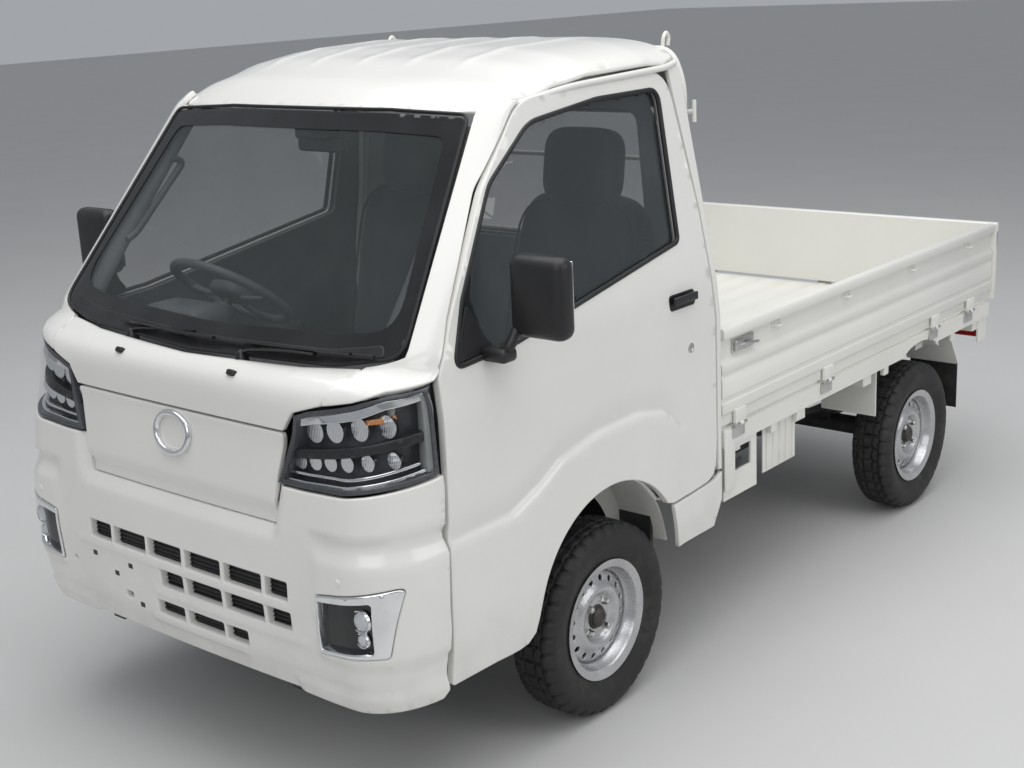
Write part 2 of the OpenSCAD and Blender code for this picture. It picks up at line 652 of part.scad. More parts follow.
module tailgate() color(body_paint) difference() {
    union() {
        intersection() {
            translate([0, tail_y - 26, gate_hinge.y]) rotate([0, 0, 90]) along(-half_w + 1, half_w - 1)
                polygon(rounded([
                    [0, 9, 0], [12, 9, 2], [12, 40, 4], [24, 48, 4], [24, 196, 8], [10, 206, 8],
                    [10, gate_h - rail_h - 2, 2], [30, gate_h - rail_h - 2, 6], [30, gate_h - 2, 9],
                    [0, gate_h - 2, 3]], 3));
            box([-far, far], [0, far], [0, far]);
        }
        for (x = tail_hinges, d = [-30, 10]) {
            translate([x + d, tail_y, gate_hinge.y]) rotate([0, 90, 0]) cylinder(r = barrel_r, h = 20);
            box([x + d, x + d + 20], [tail_y - 18, tail_y], [gate_hinge.y + 9, gate_hinge.y + 26]);
            box([x + d, x + d + 20], [tail_y - 6, tail_y], [gate_hinge.y, gate_hinge.y + 26]);
        }
    }
    for (x = tail_hinges) translate([x - 40, tail_y, gate_hinge.y]) rotate([0, 90, 0]) cylinder(r = 3.05, h = 80);
}

sill_x = gate_in + 14;

module bed_floor() color(body_paint) difference() {
    union() {
        box([-gate_in + 1, gate_in - 1], [bed_front, tail_y - 30], [floor_z - floor_t, floor_z]);
        sides() box([gate_in - 30, sill_x], [bed_front, tail_y - 20], [floor_z - 60, floor_z - 4.5]);
        box([-sill_x, sill_x], [tail_y - 50, tail_y - 20], [floor_z - 60, floor_z - 4.5]);
        for (y = [-200, 180, 640, 1180, 1545]) box([-sill_x + 12, sill_x - 12], [y, y + 60],
                                                    [frame_high[1], floor_z - floor_t + 1]);
        for (y = hinge_places) sides() hinge_base(y);
        for (x = tail_hinges) {
            translate([x - 9, tail_y, gate_hinge.y]) rotate([0, 90, 0]) cylinder(r = barrel_r, h = 18);
            translate([x - 29, tail_y, gate_hinge.y]) rotate([0, 90, 0]) cylinder(r = 3, h = 58);
            box([x - 9, x + 9], [tail_y - 30, tail_y], [gate_hinge.y - 6.5, gate_hinge.y - 0.5]);
        }
        // Splash plates before and behind the rear wheels.
        sides() box([500, sill_x - 12], [735, 741], [424, floor_z - 58]);
        sides() across(500, sill_x - 12) polygon([[1330, 592], [1425, 450], [1431, 454], [1336, 596]]);
        // Lamp brackets at the rear corners.
        sides() box([sill_x - 14, sill_x - 8], [1590, 1668], [500, floor_z - 58]);
        // Filler plate behind the cab on the left.
        box([sill_x - 14, sill_x - 8], [-255, -66], [420, floor_z - 58]);
    }
    sides() translate([0, 0, 0]) across(gate_in - 60, far) translate([axle_r, 300]) circle(r = 322);
    box([sill_x - 20, sill_x], [-190, -100], [500, 570]);
}

guard_x = 596;

module headboard() color(body_paint) {
    box([-gate_in + 6, gate_in - 6], [bed_front - 22, bed_front], [floor_z - 50, gate_top]);
    // Guard frame behind the cab.
    sides() box([guard_x - 17, guard_x + 17], [bed_front - 22, bed_front], [gate_top - 2, 1620]);
    along(bed_front - 22, bed_front) polygon(rounded(both([
        [0, 1744, 0], [guard_x - 20, 1744, 90], [guard_x + 17, 1600, 0],
        [guard_x - 17, 1600, 0], [guard_x - 50, 1706, 60], [0, 1710, 0]])));
    for (z = [1180, 1420]) box([-guard_x, guard_x], [bed_front - 18, bed_front - 4], [z, z + 14]);
}

module tail_lamps() sides() color([0.6, 0.08, 0.06])
    box([470, sill_x - 14], [1610, 1660], [512, 588]);

module mud_flaps() color(black) {
    sides() box([500, sill_x - 8], [1431, 1437], [276, 462]);
    sides() box([480, 690], [axle_f + 312, axle_f + 318], [250, 400]);
}

// ---------------------------------------------------------------- drawing

cab_shell();
cab_floor();
roof();
windshield();
rear_window();
cowl_panel();
front_lid();
front_bumper();
headlamps();
fog_lamps();
wipers();
dashboard();
seats();
steering_wheel();
color(body_paint) door();  // door_left
color(body_paint) mirror([1, 0, 0]) door();  // door_right
door_glass();  // door_glass_left
mirror([1, 0, 0]) door_glass();  // door_glass_right
mirror_piece();  // mirror_left
mirror([1, 0, 0]) mirror_piece();  // mirror_right
engine();
propeller_shaft();
rear_axle();
leaf_springs();
chassis_frame();
front_arms();
knuckle();  // knuckle_left
mirror([1, 0, 0]) knuckle();  // knuckle_right
place_wheel(1, axle_f) tyre();  // tyre_front_left
place_wheel(-1, axle_f) tyre();  // tyre_front_right
place_wheel(1, axle_r) tyre();  // tyre_rear_left
place_wheel(-1, axle_r) tyre();  // tyre_rear_right
place_wheel(1, axle_f) { rim(); hub(); }  // rim_front_left
place_wheel(-1, axle_f) { rim(); hub(); }  // rim_front_right
place_wheel(1, axle_r) { rim(); hub(); }  // rim_rear_left
place_wheel(-1, axle_r) { rim(); hub(); }  // rim_rear_right
fuel_tank();
muffler();
bed_floor();
headboard();
side_gate();  // gate_left
mirror([1, 0, 0]) side_gate();  // gate_right
tailgate();
tail_lamps();
mud_flaps();
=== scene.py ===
# %% [markdown]
# # A light truck with a drop-side bed
# The CAD model is loaded first as a fixed frame. Every piece made below is placed from the frame's own boxes,
# and rides on one of its bodies, so doors, gates and wheels still move. Shapes could be modelled freely, but then
# nothing would line up with the joints. Lengths below are in millimetres, and MM turns them into metres.
# %% The frame and the tools
import bpy, bmesh, math
import numpy as np
from mathutils import Matrix, Vector
from mathutils.geometry import delaunay_2d_cdt


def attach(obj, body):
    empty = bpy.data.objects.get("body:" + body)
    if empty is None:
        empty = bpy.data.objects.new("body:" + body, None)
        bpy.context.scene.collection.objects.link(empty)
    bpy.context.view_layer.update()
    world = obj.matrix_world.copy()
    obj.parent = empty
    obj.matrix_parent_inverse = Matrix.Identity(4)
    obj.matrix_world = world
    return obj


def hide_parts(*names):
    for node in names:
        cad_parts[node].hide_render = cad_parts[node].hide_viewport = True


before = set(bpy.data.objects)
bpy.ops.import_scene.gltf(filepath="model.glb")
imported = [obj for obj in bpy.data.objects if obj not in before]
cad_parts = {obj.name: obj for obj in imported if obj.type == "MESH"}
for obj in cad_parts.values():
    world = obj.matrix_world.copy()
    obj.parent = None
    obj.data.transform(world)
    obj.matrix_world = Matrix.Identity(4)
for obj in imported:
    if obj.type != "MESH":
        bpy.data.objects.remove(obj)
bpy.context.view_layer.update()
MM = 0.001
SIDES = ((1, "left"), (-1, "right"))


def full_turn(count, start=0.0):
    """Evenly spaced angles once round a circle."""
    return np.linspace(start, start + 2 * math.pi, count, endpoint=False)


def signed_power(value, power):
    return math.copysign(abs(value) ** power, value)


# %% [markdown]
# ## Camera
# A long lens from the front left corner, a little above the mirrors, keeps the truck's edges nearly parallel.
# It could be aimed with a constraint; a rotation built from azimuth, elevation and roll is exact and has no parts.
# %% The camera
def aim(azimuth, elevation, roll):
    a, e, r = (math.radians(v) for v in (azimuth, elevation, roll))
    back = Vector((math.sin(a) * math.cos(e), -math.cos(a) * math.cos(e), math.sin(e)))
    right = (-back).cross(Vector((0, 0, 1))).normalized()
    up = right.cross(-back)
    x = math.cos(r) * right + math.sin(r) * up
    y = -math.sin(r) * right + math.cos(r) * up
    return Matrix((x, y, back)).transposed().to_4x4()


CAMERA_PLACE, AZIMUTH, ELEVATION, ROLL = (2.8835, -3.7309, 1.9483), 40.551, 15.621, -2.788
LENS, SENSOR, FAR_CLIP = 51.203, 36, 200
camera = bpy.data.objects.new("camera", bpy.data.cameras.new("camera"))
bpy.context.scene.collection.objects.link(camera)
camera.matrix_world = Matrix.Translation(CAMERA_PLACE) @ aim(AZIMUTH, ELEVATION, ROLL)
camera.data.lens, camera.data.sensor_width, camera.data.clip_end = LENS, SENSOR, FAR_CLIP
bpy.context.scene.camera = camera
print("camera", [round(v, 3) for v in camera.location])

# %% [markdown]
# ## Shader maths as Python
# A finish is easier to read as an expression than as a web of nodes. `Value` wraps one socket and gives it plus and
# times, and `Shader.node` makes any other node from its type, its settings and its socket values. Baked pictures
# could colour the truck too, but noise in object space needs no unwrapping and stays sharp at any distance.
# %% Value and Shader
class Value:
    def __init__(self, shader, socket):
        self.shader, self.socket = shader, socket

    def _math(self, operation, *others):
        return self.shader.node("Math", {"operation": operation}, self, *others)

    def __add__(self, other):
        return self._math("ADD", other)

    def __mul__(self, other):
        return self._math("MULTIPLY", other)

    def between(self, low, high, first=0.0, last=1.0):
        return self.shader.node("MapRange", {"interpolation_type": "SMOOTHSTEP"}, self, low, high, first, last)


class Shader:
    def __init__(self, name):
        self.material = bpy.data.materials.new(name)
        self.material.use_nodes = True
        self.tree = self.material.node_tree
        self.surface = self.tree.nodes["Principled BSDF"]

    def node(self, kind, settings=None, *inputs, out=0, **named):
        made = self.tree.nodes.new("ShaderNode" + kind)
        for key, value in (settings or {}).items():
            if key == "stops":
                ramp = made.color_ramp.elements
                while len(ramp) < len(value):
                    ramp.new(0.5)
                for element, (place, colour) in zip(ramp, value):
                    element.position, element.color = place, colour
            else:
                setattr(made, key, value)
        for key, value in list(enumerate(inputs)) + [(k.replace("_", " "), v) for k, v in named.items()]:
            self.put(made.inputs[key], value)
        return Value(self, made.outputs[out])

    def put(self, socket, value):
        if isinstance(value, Value):
            self.tree.links.new(value.socket, socket)
        else:
            socket.default_value = (*value, 1) if isinstance(value, tuple) and len(value) == 3 and \
                socket.type == "RGBA" else value

    def set(self, **sockets):
        for key, value in sockets.items():
            self.put(self.surface.inputs[key.replace("_", " ")], value)
        return self

    def place(self):
        return self.node("TexCoord", None, out="Object")

    def noise(self, scale, detail=3.0, roughness=0.5):
        return self.node("TexNoise", None, out=0, Vector=self.place(), Scale=scale, Detail=detail, Roughness=roughness)

    def cells(self, scale, feature="F1"):
        return self.node("TexVoronoi", {"feature": feature}, out=0, Vector=self.place(), Scale=scale)

    def blend(self, mask, first, second):
        mixed = self.tree.nodes.new("ShaderNodeMix")
        mixed.data_type = "RGBA"
        for index, value in ((0, mask), (6, first), (7, second)):
            self.put(mixed.inputs[index], value)
        return Value(self, mixed.outputs[2])

    def bump(self, height, strength, distance):
        return self.set(Normal=self.node("Bump", None, Height=height, Strength=strength, Distance=distance))


print("shader tools", [name for name in vars(Shader) if not name.startswith("_")])

# %% [markdown]
# ## Paint
# A working truck's enamel is a warm white under a thin clear coat. Two noises do it: a very fine one for the
# coat's orange peel, and a broad one that greys the colour a little where road dust settles, low on the body.
# %% White paint
def low_dust(shader, top):
    height = shader.node("SeparateXYZ", None, shader.place(), out=2)
    return height.between(0.05, top, 1.0, 0.0) * shader.noise(9.0, 6.0).between(0.35, 0.75)


ROAD_DUST = (0.33, 0.31, 0.28)


def paint(name, colour, rough=0.22, coat=0.6, dust=0.28):
    s = Shader(name)
    patches = s.noise(3.0, 4.0).between(0.35, 0.65)
    clean = s.blend(patches, colour, tuple(c * 0.975 for c in colour))
    s.set(Base_Color=s.blend(low_dust(s, 0.75) * dust, clean, ROAD_DUST),
          Roughness=s.noise(5.0, 3.0).between(0.2, 0.8, rough - 0.02, rough + 0.04),
          Coat_Weight=coat, Coat_Roughness=0.06, IOR=1.5)
    return s.bump(s.noise(260.0, 2.0), 0.010, 0.0003).material


white_paint = paint("white_paint", (0.80, 0.79, 0.75))
bed_paint = paint("bed_paint", (0.81, 0.80, 0.75), 0.34, 0.25, 0.22)
print("paints", white_paint.name, bed_paint.name)

# %% [markdown]
# ## Plastics, rubber, metals
# Moulded plastic has a fine pebble grain, made here with cell noise as bump. Rubber is duller and greyer with
# dust. Steel parts differ in roughness: rolled steel shows faint streaks, and chassis black is thin and patchy.
# %% Plastics and rubber
def grained(name, colour, rough, scale=700.0, depth=0.25, spread=0.06):
    s = Shader(name)
    cloud = s.noise(6.0, 5.0).between(0.3, 0.7)
    s.set(Base_Color=s.blend(cloud, colour, tuple(min(1, c * 1.35 + 0.004) for c in colour)),
          Roughness=s.noise(25.0, 4.0).between(0.3, 0.7, rough - spread, rough + spread))
    return s.bump(s.cells(scale), depth, 0.0003).material


def dusty(name, colour, dust, rough, grain=60.0):
    s = Shader(name)
    film = s.noise(7.0, 6.0, 0.65).between(0.42, 0.72) * s.noise(40.0, 3.0).between(0.3, 0.6)
    s.set(Base_Color=s.blend(film * 0.7, colour, dust), Roughness=film * 0.12 + rough)
    return s.bump(s.noise(grain, 6.0), 0.15, 0.0015).material


black_plastic = grained("black_plastic", (0.012, 0.012, 0.013), 0.42)
trim_plastic = grained("trim_plastic", (0.010, 0.010, 0.011), 0.30, 1200.0, 0.08)
cabin_plastic = grained("cabin_plastic", (0.075, 0.078, 0.082), 0.5)
cabin_grey = grained("cabin_grey", (0.20, 0.21, 0.21), 0.6)
seal_rubber = grained("seal_rubber", (0.009, 0.009, 0.010), 0.48, 300.0, 0.1)
tyre_rubber = dusty("tyre_rubber", (0.014, 0.014, 0.015), (0.060, 0.056, 0.050), 0.62)
flap_rubber = dusty("flap_rubber", (0.012, 0.012, 0.012), (0.05, 0.047, 0.042), 0.6, 25.0)
print("plastics and rubbers", 7)

# %% Metals
def metal(name, colour, rough, streak=0.08, amount=1.0, coat=0.0):
    s = Shader(name)
    streaks = s.node("TexNoise", None, Vector=s.node("VectorMath", {"operation": "MULTIPLY"}, s.place(),
                                                     (3.0, 60.0, 60.0)), Scale=4.0, Detail=5.0)
    s.set(Base_Color=s.blend(s.noise(12.0, 5.0).between(0.3, 0.7), colour, tuple(c * 0.86 for c in colour)),
          Metallic=amount, Roughness=streaks.between(0.3, 0.7, rough - streak, rough + streak), Coat_Weight=coat)
    return s.bump(s.noise(300.0, 3.0), 0.04, 0.0004).material


wheel_silver = metal("wheel_silver", (0.56, 0.56, 0.57), 0.30, 0.06, 0.75, 0.2)
chrome = metal("chrome", (0.86, 0.87, 0.88), 0.07, 0.02)
plated = metal("plated", (0.62, 0.62, 0.60), 0.32)
hub_steel = metal("hub_steel", (0.10, 0.09, 0.085), 0.5, 0.1, 0.7)
exhaust = metal("exhaust", (0.34, 0.31, 0.28), 0.5, 0.12)
casting = metal("casting", (0.30, 0.30, 0.31), 0.55, 0.1, 0.8)
chassis_black = dusty("chassis_black", (0.016, 0.016, 0.017), (0.075, 0.068, 0.06), 0.5, 90.0)
floor_black = dusty("floor_black", (0.030, 0.031, 0.032), (0.09, 0.08, 0.07), 0.6, 70.0)
print("metals and chassis finishes", 8)

# %% [markdown]
# ## Glass and lamps
# Thin car glass could be true refraction, but then lamps light nothing behind it. A clear surface that is partly
# transparent keeps the cabin lit, and a high index keeps its reflections. Lamp reflectors are bright metal.
# %% Glass and lenses
def pane(name, colour, cover, rough=0.02, index=1.9):
    s = Shader(name)
    smear = s.noise(5.0, 5.0).between(0.35, 0.7)
    s.set(Base_Color=s.blend(smear, colour, tuple(c * 1.12 for c in colour)), Roughness=smear * 0.03 + rough,
          Alpha=smear * 0.04 + cover, IOR=index, Coat_Weight=0.6, Coat_Roughness=0.01)
    s.material.surface_render_method = "BLENDED"
    return s.material


def lens(name, colour, rough, metallic=0.0):
    s = Shader(name)
    ribs = s.node("TexWave", {"wave_type": "BANDS", "bands_direction": "X"}, Vector=s.place(), Scale=60.0,
                  Distortion=0.4)
    s.set(Base_Color=s.blend(ribs, colour, tuple(c * 0.72 for c in colour)), Roughness=ribs * 0.06 + rough,
          Metallic=metallic, Coat_Weight=0.8, Coat_Roughness=0.03)
    return s.bump(ribs, 0.25, 0.001).material


screen_glass = pane("screen_glass", (0.07, 0.085, 0.085), 0.30)
door_pane = pane("door_pane", (0.045, 0.055, 0.057), 0.46)
lamp_cover = pane("lamp_cover", (0.10, 0.11, 0.12), 0.06, 0.01, 1.6)
frit_black = grained("frit_black", (0.012, 0.013, 0.014), 0.10, 900.0, 0.02, 0.02)
lamp_house = grained("lamp_house", (0.055, 0.058, 0.064), 0.24, 500.0, 0.03)
reflector = lens("reflector", (0.80, 0.82, 0.84), 0.06, 1.0)
lamp_clear = lens("lamp_clear", (0.62, 0.64, 0.66), 0.08)
amber = lens("amber", (0.72, 0.27, 0.06), 0.12)
red_lens = lens("red_lens", (0.42, 0.015, 0.012), 0.10)
print("materials so far", len(bpy.data.materials))

# %% [markdown]
# ## Cloth for the seats
# Seat cloth is a coarse plain weave. Two crossed wave textures give the threads, and their product drives both
# colour and bump, so the threads stay at their real size of about a millimetre.
# %% Seat cloth
def woven(name, colour, thread=1100.0):
    s = Shader(name)
    warp, weft = (s.node("TexWave", {"wave_type": "BANDS", "bands_direction": d}, Vector=s.place(), Scale=thread / 6.3)
                  for d in ("X", "Z"))
    weave = warp * weft
    fade = s.noise(8.0, 4.0).between(0.3, 0.7)
    tint = s.blend(fade, colour, tuple(c * 1.3 for c in colour))
    s.set(Base_Color=s.blend(weave, tuple(c * 0.6 for c in colour), tint), Roughness=0.88, Sheen_Weight=0.3,
          Sheen_Roughness=0.5)
    return s.bump(weave, 0.5, 0.0008).material


seat_cloth = woven("seat_cloth", (0.055, 0.060, 0.066))
print("materials in all", len(bpy.data.materials))

# %% [markdown]
# ## Sheet panels
# A pressed panel is one smooth surface with a rolled edge. It could be a subdivided cage, but shut lines need
# exact outlines. So the outline is drawn flat, filled with a fine triangulation, and laid on a surface function;
# then the rim is rolled over by a few rows that step outwards and down along the surface's normal.
# %% Outlines and filling
def smooth_table(points, width):
    """A function through (key, value) points with its corners rounded over width."""
    keys, values = np.array(sorted(points), float).T
    fine = np.arange(keys[0] - 3 * width, keys[-1] + 3 * width, 1.0)
    kernel = np.hanning(max(3, int(width) | 1))
    level = np.convolve(np.interp(fine, keys, values), kernel / kernel.sum(), "same")
    inside = slice(int(width), -int(width))
    return lambda k: np.interp(k, fine[inside], level[inside])


def step01(value, low, high):
    t = np.clip((value - low) / (high - low), 0, 1)
    return t * t * (3 - 2 * t)


def rounded(corners, steps=6):
    """A closed outline from corners (u, v, radius)."""
    out, n = [], len(corners)
    for i, (u, v, r) in enumerate(corners):
        b = np.array([u, v], float)
        if r < 0.5:
            out.append(b)
            continue
        a, c = np.array(corners[i - 1][:2], float), np.array(corners[(i + 1) % n][:2], float)
        p, q = (a - b) / np.linalg.norm(a - b), (c - b) / np.linalg.norm(c - b)
        half = math.acos(np.clip(p @ q, -1, 1)) / 2
        reach = min(r / math.tan(half), 0.48 * np.linalg.norm(a - b), 0.48 * np.linalg.norm(c - b))
        s, e = b + p * reach, b + q * reach
        out += [(1 - t) ** 2 * s + 2 * t * (1 - t) * b + t * t * e for t in np.linspace(0, 1, steps + 1)]
    return np.array(out)


def resample(loop, length):
    out = []
    for a, b in zip(loop, np.roll(loop, -1, 0)):
        cuts = max(1, int(math.ceil(np.linalg.norm(b - a) / length)))
        out += [a + (b - a) * k / cuts for k in range(cuts)]
    out = np.array(out)
    keep = np.linalg.norm(out - np.roll(out, 1, 0), axis=1) > 0.05
    return out[keep]


def turned(loop):
    """The outward direction at each point of a loop that runs counter-clockwise."""
    edge = np.roll(loop, -1, 0) - loop
    normal = np.stack([edge[:, 1], -edge[:, 0]], 1) / np.linalg.norm(edge, axis=1)[:, None]
    both = normal + np.roll(normal, 1, 0)
    length = np.maximum(np.linalg.norm(both, axis=1)[:, None], 0.6)
    return both / length * (2 / length).clip(1, 1.6)


print("a square corner of radius 10 gets", len(rounded([(0, 0, 10), (50, 0, 0), (50, 50, 0)])) - 2, "points")

# %% Area, inside and distance
def area(loop):
    x, y = loop.T
    return 0.5 * np.sum(x * np.roll(y, -1) - y * np.roll(x, -1))


def inside(points, loop):
    x, y = points[:, 0][:, None], points[:, 1][:, None]
    a, b = loop, np.roll(loop, -1, 0)
    with np.errstate(divide="ignore", invalid="ignore"):
        cross = (a[:, 1] > y) != (b[:, 1] > y)
        hit = x < (b[:, 0] - a[:, 0]) * (y - a[:, 1]) / (b[:, 1] - a[:, 1]) + a[:, 0]
    return (cross & hit).sum(1) % 2 == 1


def distance(points, line, closed=False):
    """How far each point lies from a polyline."""
    a, b = (line, np.roll(line, -1, 0)) if closed else (line[:-1], line[1:])
    best = np.full(len(points), 1e9)
    for s, e in zip(a, b):
        d = e - s
        t = np.clip(((points - s) @ d) / max(d @ d, 1e-9), 0, 1)
        best = np.minimum(best, np.linalg.norm(points - s - t[:, None] * d, axis=1))
    return best


print("area of a 10 mm square", area(np.array([(0, 0), (10, 0), (10, 10), (0, 10)])), "mm2")

# %% Filling an outline
def filled(loops, step, extra=None):
    """Points and triangles inside the first loop and outside the others."""
    low, high = loops[0].min(0), loops[0].max(0)
    rows = np.arange(low[1] + step / 2, high[1], step * 0.87)
    grid = np.array([(u + (step / 2 if k % 2 else 0), v) for k, v in enumerate(rows)
                     for u in np.arange(low[0] + step / 2, high[0], step)]).reshape(-1, 2)
    if extra is not None:
        if len(grid):
            grid = grid[np.array([np.min(np.sum((extra - g) ** 2, 1)) > (step * 0.35) ** 2 for g in grid])]
        grid = np.vstack([grid, extra])
    good = inside(grid, loops[0]) if len(grid) else np.zeros(0, bool)
    for hole in loops[1:]:
        good &= ~inside(grid, hole)
    for loop in loops:
        good &= distance(grid, loop, True) > step * 0.3
    points, edges = [], []
    for loop in loops:
        start = len(points)
        points += [Vector(p) for p in loop]
        edges += [(start + i, start + (i + 1) % len(loop)) for i in range(len(loop))]
    points += [Vector(p) for p in grid[good]]
    verts, _, faces, *_ = delaunay_2d_cdt(points, edges, [], 0, 1e-4)
    verts = np.array([tuple(v) for v in verts])
    faces = np.array([f[:3] for f in faces])
    middle = verts[faces].mean(1)
    keep = inside(middle, loops[0])
    for hole in loops[1:]:
        keep &= ~inside(middle, hole)
    return verts, faces[keep]


square = np.array([(0, 0), (100, 0), (100, 100), (0, 100)], float)
print("a square of 100 mm gets", len(filled([square], 24)[1]), "triangles")

# %% Laying a panel on a surface
def surface_normal(surface, uv):
    e = 0.6
    du = surface(uv[:, 0] + e, uv[:, 1]) - surface(uv[:, 0] - e, uv[:, 1])
    dv = surface(uv[:, 0], uv[:, 1] + e) - surface(uv[:, 0], uv[:, 1] - e)
    n = np.cross(du, dv)
    return n / np.maximum(np.linalg.norm(n, axis=1), 1e-9)[:, None]


def mesh_object(name, verts, faces, material, body="chassis"):
    """A smooth mesh from points in mm, riding on a body."""
    mesh = bpy.data.meshes.new(name)
    mesh.from_pydata([tuple(float(c) * MM for c in v) for v in verts], [], [tuple(int(i) for i in f) for f in faces])
    mesh.validate()
    mesh.polygons.foreach_set("use_smooth", [True] * len(mesh.polygons))
    mesh.materials.append(material)
    piece = bpy.data.objects.new(name, mesh)
    bpy.context.scene.collection.objects.link(piece)
    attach(piece, body)
    return piece


def panel(name, surface, outline, material, step=24.0, roll=3.0, hem=14.0, holes=(), extra=None, flip=False,
          body="chassis", edge=14.0, lift=0.0):
    """A sheet with rolled edges: outline and holes are (u, v) loops in mm, surface(u, v) gives (n, 3) in mm."""
    loops = []
    for k, loop in enumerate([outline, *holes]):
        loop = resample(np.array(loop, float), edge)
        loop = loop[::-1] if (area(loop) < 0) != (k > 0) else loop
        loops.append(loop)
    outward = [turned(loop) for loop in loops]
    inner = [loop - out * (roll + 1.5) for loop, out in zip(loops, outward)]
    uv, faces = filled(inner, step, extra)
    sign = -1.0 if flip else 1.0

    def at(points, depth):
        return surface(points[:, 0], points[:, 1]) + surface_normal(surface, points) * sign * (lift - depth)

    verts = [at(uv, 0.0)]
    count = len(uv)
    faces = [tuple(f) for f in faces]
    rows = ((1.5, 0.0), (1.5 + roll * 0.7, roll * 0.3), (1.5 + roll, roll), (1.5 + roll, hem))
    for loop, out in zip(inner, outward):
        lookup = {tuple(np.round(p, 3)): i for i, p in enumerate(uv)}
        last = [lookup.get(tuple(np.round(p, 3)), int(np.argmin(np.sum((uv - p) ** 2, 1)))) for p in loop]
        for reach, depth in rows:
            verts.append(at(loop + out * reach, depth))
            now = list(range(count, count + len(loop)))
            count += len(loop)
            for i in range(len(loop)):
                j = (i + 1) % len(loop)
                faces.append((last[j], last[i], now[i], now[j]))
            last = now
    if flip:
        faces = [f[::-1] for f in faces]
    return mesh_object(name, np.vstack(verts), faces, material, body)


# %% Mirror images
def mirrored(piece, name, body):
    """The same piece on the truck's other side."""
    mesh = piece.data.copy()
    mesh.transform(Matrix.Diagonal((-1, 1, 1, 1)))
    mesh.flip_normals()
    twin = bpy.data.objects.new(name, mesh)
    bpy.context.scene.collection.objects.link(twin)
    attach(twin, body)
    return twin


def both_sides(make, name, left_body="chassis", right_body=None):
    """What make builds on the left, and its mirror images on the right."""
    left = make(name + "_left", left_body)
    pieces = left if isinstance(left, (list, tuple)) else [left]
    right = [mirrored(p, p.name.replace("_left", "_right"), right_body or left_body) for p in pieces]
    return pieces, right


print("sides", [tag for _, tag in SIDES])

# %% [markdown]
# ## The cab's skin
# The cab is one continuous form, so all its front panels are cut from one function. q runs round the plan from the
# middle of the nose to the side, z runs up. Tables give the half-width, the nose's reach, the corner's two radii
# and the bulge of the front at each height. Panels cut from one function line up across every shut line.
# %% The nose and corners as one function
half_width = smooth_table([(200, 725), (318, 725), (341, 728), (440, 736.5), (1000, 737), (1112, 724.5), (1680, 612),
                           (1900, 570)], 60)
reach = smooth_table([(200, -1655), (318, -1664), (326, -1670), (400, -1692), (560, -1697.5), (742, -1690),
                      (967, -1655), (1010, -1657), (1040, -1655), (1062, -1648), (1076, -1638), (1092, -1610),
                      (1104, -1572), (1108, -1562), (1640, -1138), (1708, -1038), (1752, -900)], 16)
SKIN_Z = [200, 318, 600, 842, 967, 1040, 1090, 1138, 1400, 1640, 1800]
round_x, round_y, bulge = (smooth_table(list(zip(SKIN_Z, v)), 40) for v in (
    [150, 150, 150, 160, 220, 260, 200, 90, 85, 80, 80], [175, 175, 190, 195, 175, 160, 110, 60, 60, 60, 60],
    [22, 22, 18, 18, 15, 30, 40, 49, 42, 35, 35]))


def nose(q, z):
    """Points of the front and the corners: q 0-600 front, 600-900 corner, then mm along the side."""
    q, z = np.broadcast_arrays(np.asarray(q, float), np.asarray(z, float))
    side = np.where(q < 0, -1.0, 1.0)
    q = np.abs(q)
    xs, rx, ry, b = half_width(z), round_x(z), round_y(z), bulge(z)
    xc = xs - rx
    phi = np.clip((q - 600) / 300, 0, 1) * math.pi / 2
    x = np.where(q < 600, q / 600 * xc, xc + rx * np.sin(phi))
    y = reach(z) + b * (np.minimum(x, xs) / xs) ** 2 + ry * (1 - np.cos(phi)) + np.maximum(q - 900, 0)
    return np.stack([x * side, y, z], 1)


def q_at(x, z):
    """The q of a point x out from the centre on the front or corner."""
    x, z = np.asarray(x, float), np.asarray(z, float)
    xc = half_width(z) - round_x(z)
    a = np.abs(x)
    q = np.where(a < xc, a / xc * 600, 600 + 300 / (math.pi / 2) * np.arcsin(np.clip((a - xc) / round_x(z), 0, 1)))
    return np.sign(x) * q


def side_q(y, z):
    """The q of a point on the side, from its y."""
    z = np.asarray(z, float)
    end = reach(z) + bulge(z) + round_y(z)
    return np.where(y > end, 900 + y - end,
                    600 + 300 / (math.pi / 2) * np.arccos(np.clip(1 - (y - end + round_y(z)) / round_y(z), 0, 1)))


def front_loop(points):
    """An outline given as (x, z, radius) turned into (q, z)."""
    loop = resample(rounded(points), 12)
    return np.stack([q_at(loop[:, 0], loop[:, 1]), loop[:, 1]], 1)


def f_at(x, z):
    """(q, z) of a point on the front, x out from the centre."""
    return float(q_at(x, z)), z


def s_at(y, z):
    """(q, z) of a point on the side."""
    return float(side_q(y, z)), z


print("the nose reaches y", round(float(reach(560)), 1), "and x", round(float(half_width(560)), 1))

# %% [markdown]
# ## The sides
# The sides carry the arch flare: above a curved line the skin turns inwards, just below it it jumps out again.
# The door and the panels before and behind it share this function too, so the crease runs across the gaps. It could
# be modelled on each panel alone, but three separate creases would never quite meet.
# %% The sides as one function
FLARE = np.array([(-1500, 705), (-1240, 708), (-1140, 745), (-1053, 790), (-885, 822), (-706, 824), (-589, 799),
                  (-532, 761), (-470, 650), (-451, 578)], float)
FLARE_TOP = smooth_table([tuple(p) for p in FLARE[:8]] + [(-470, 700), (-400, 600)], 30)


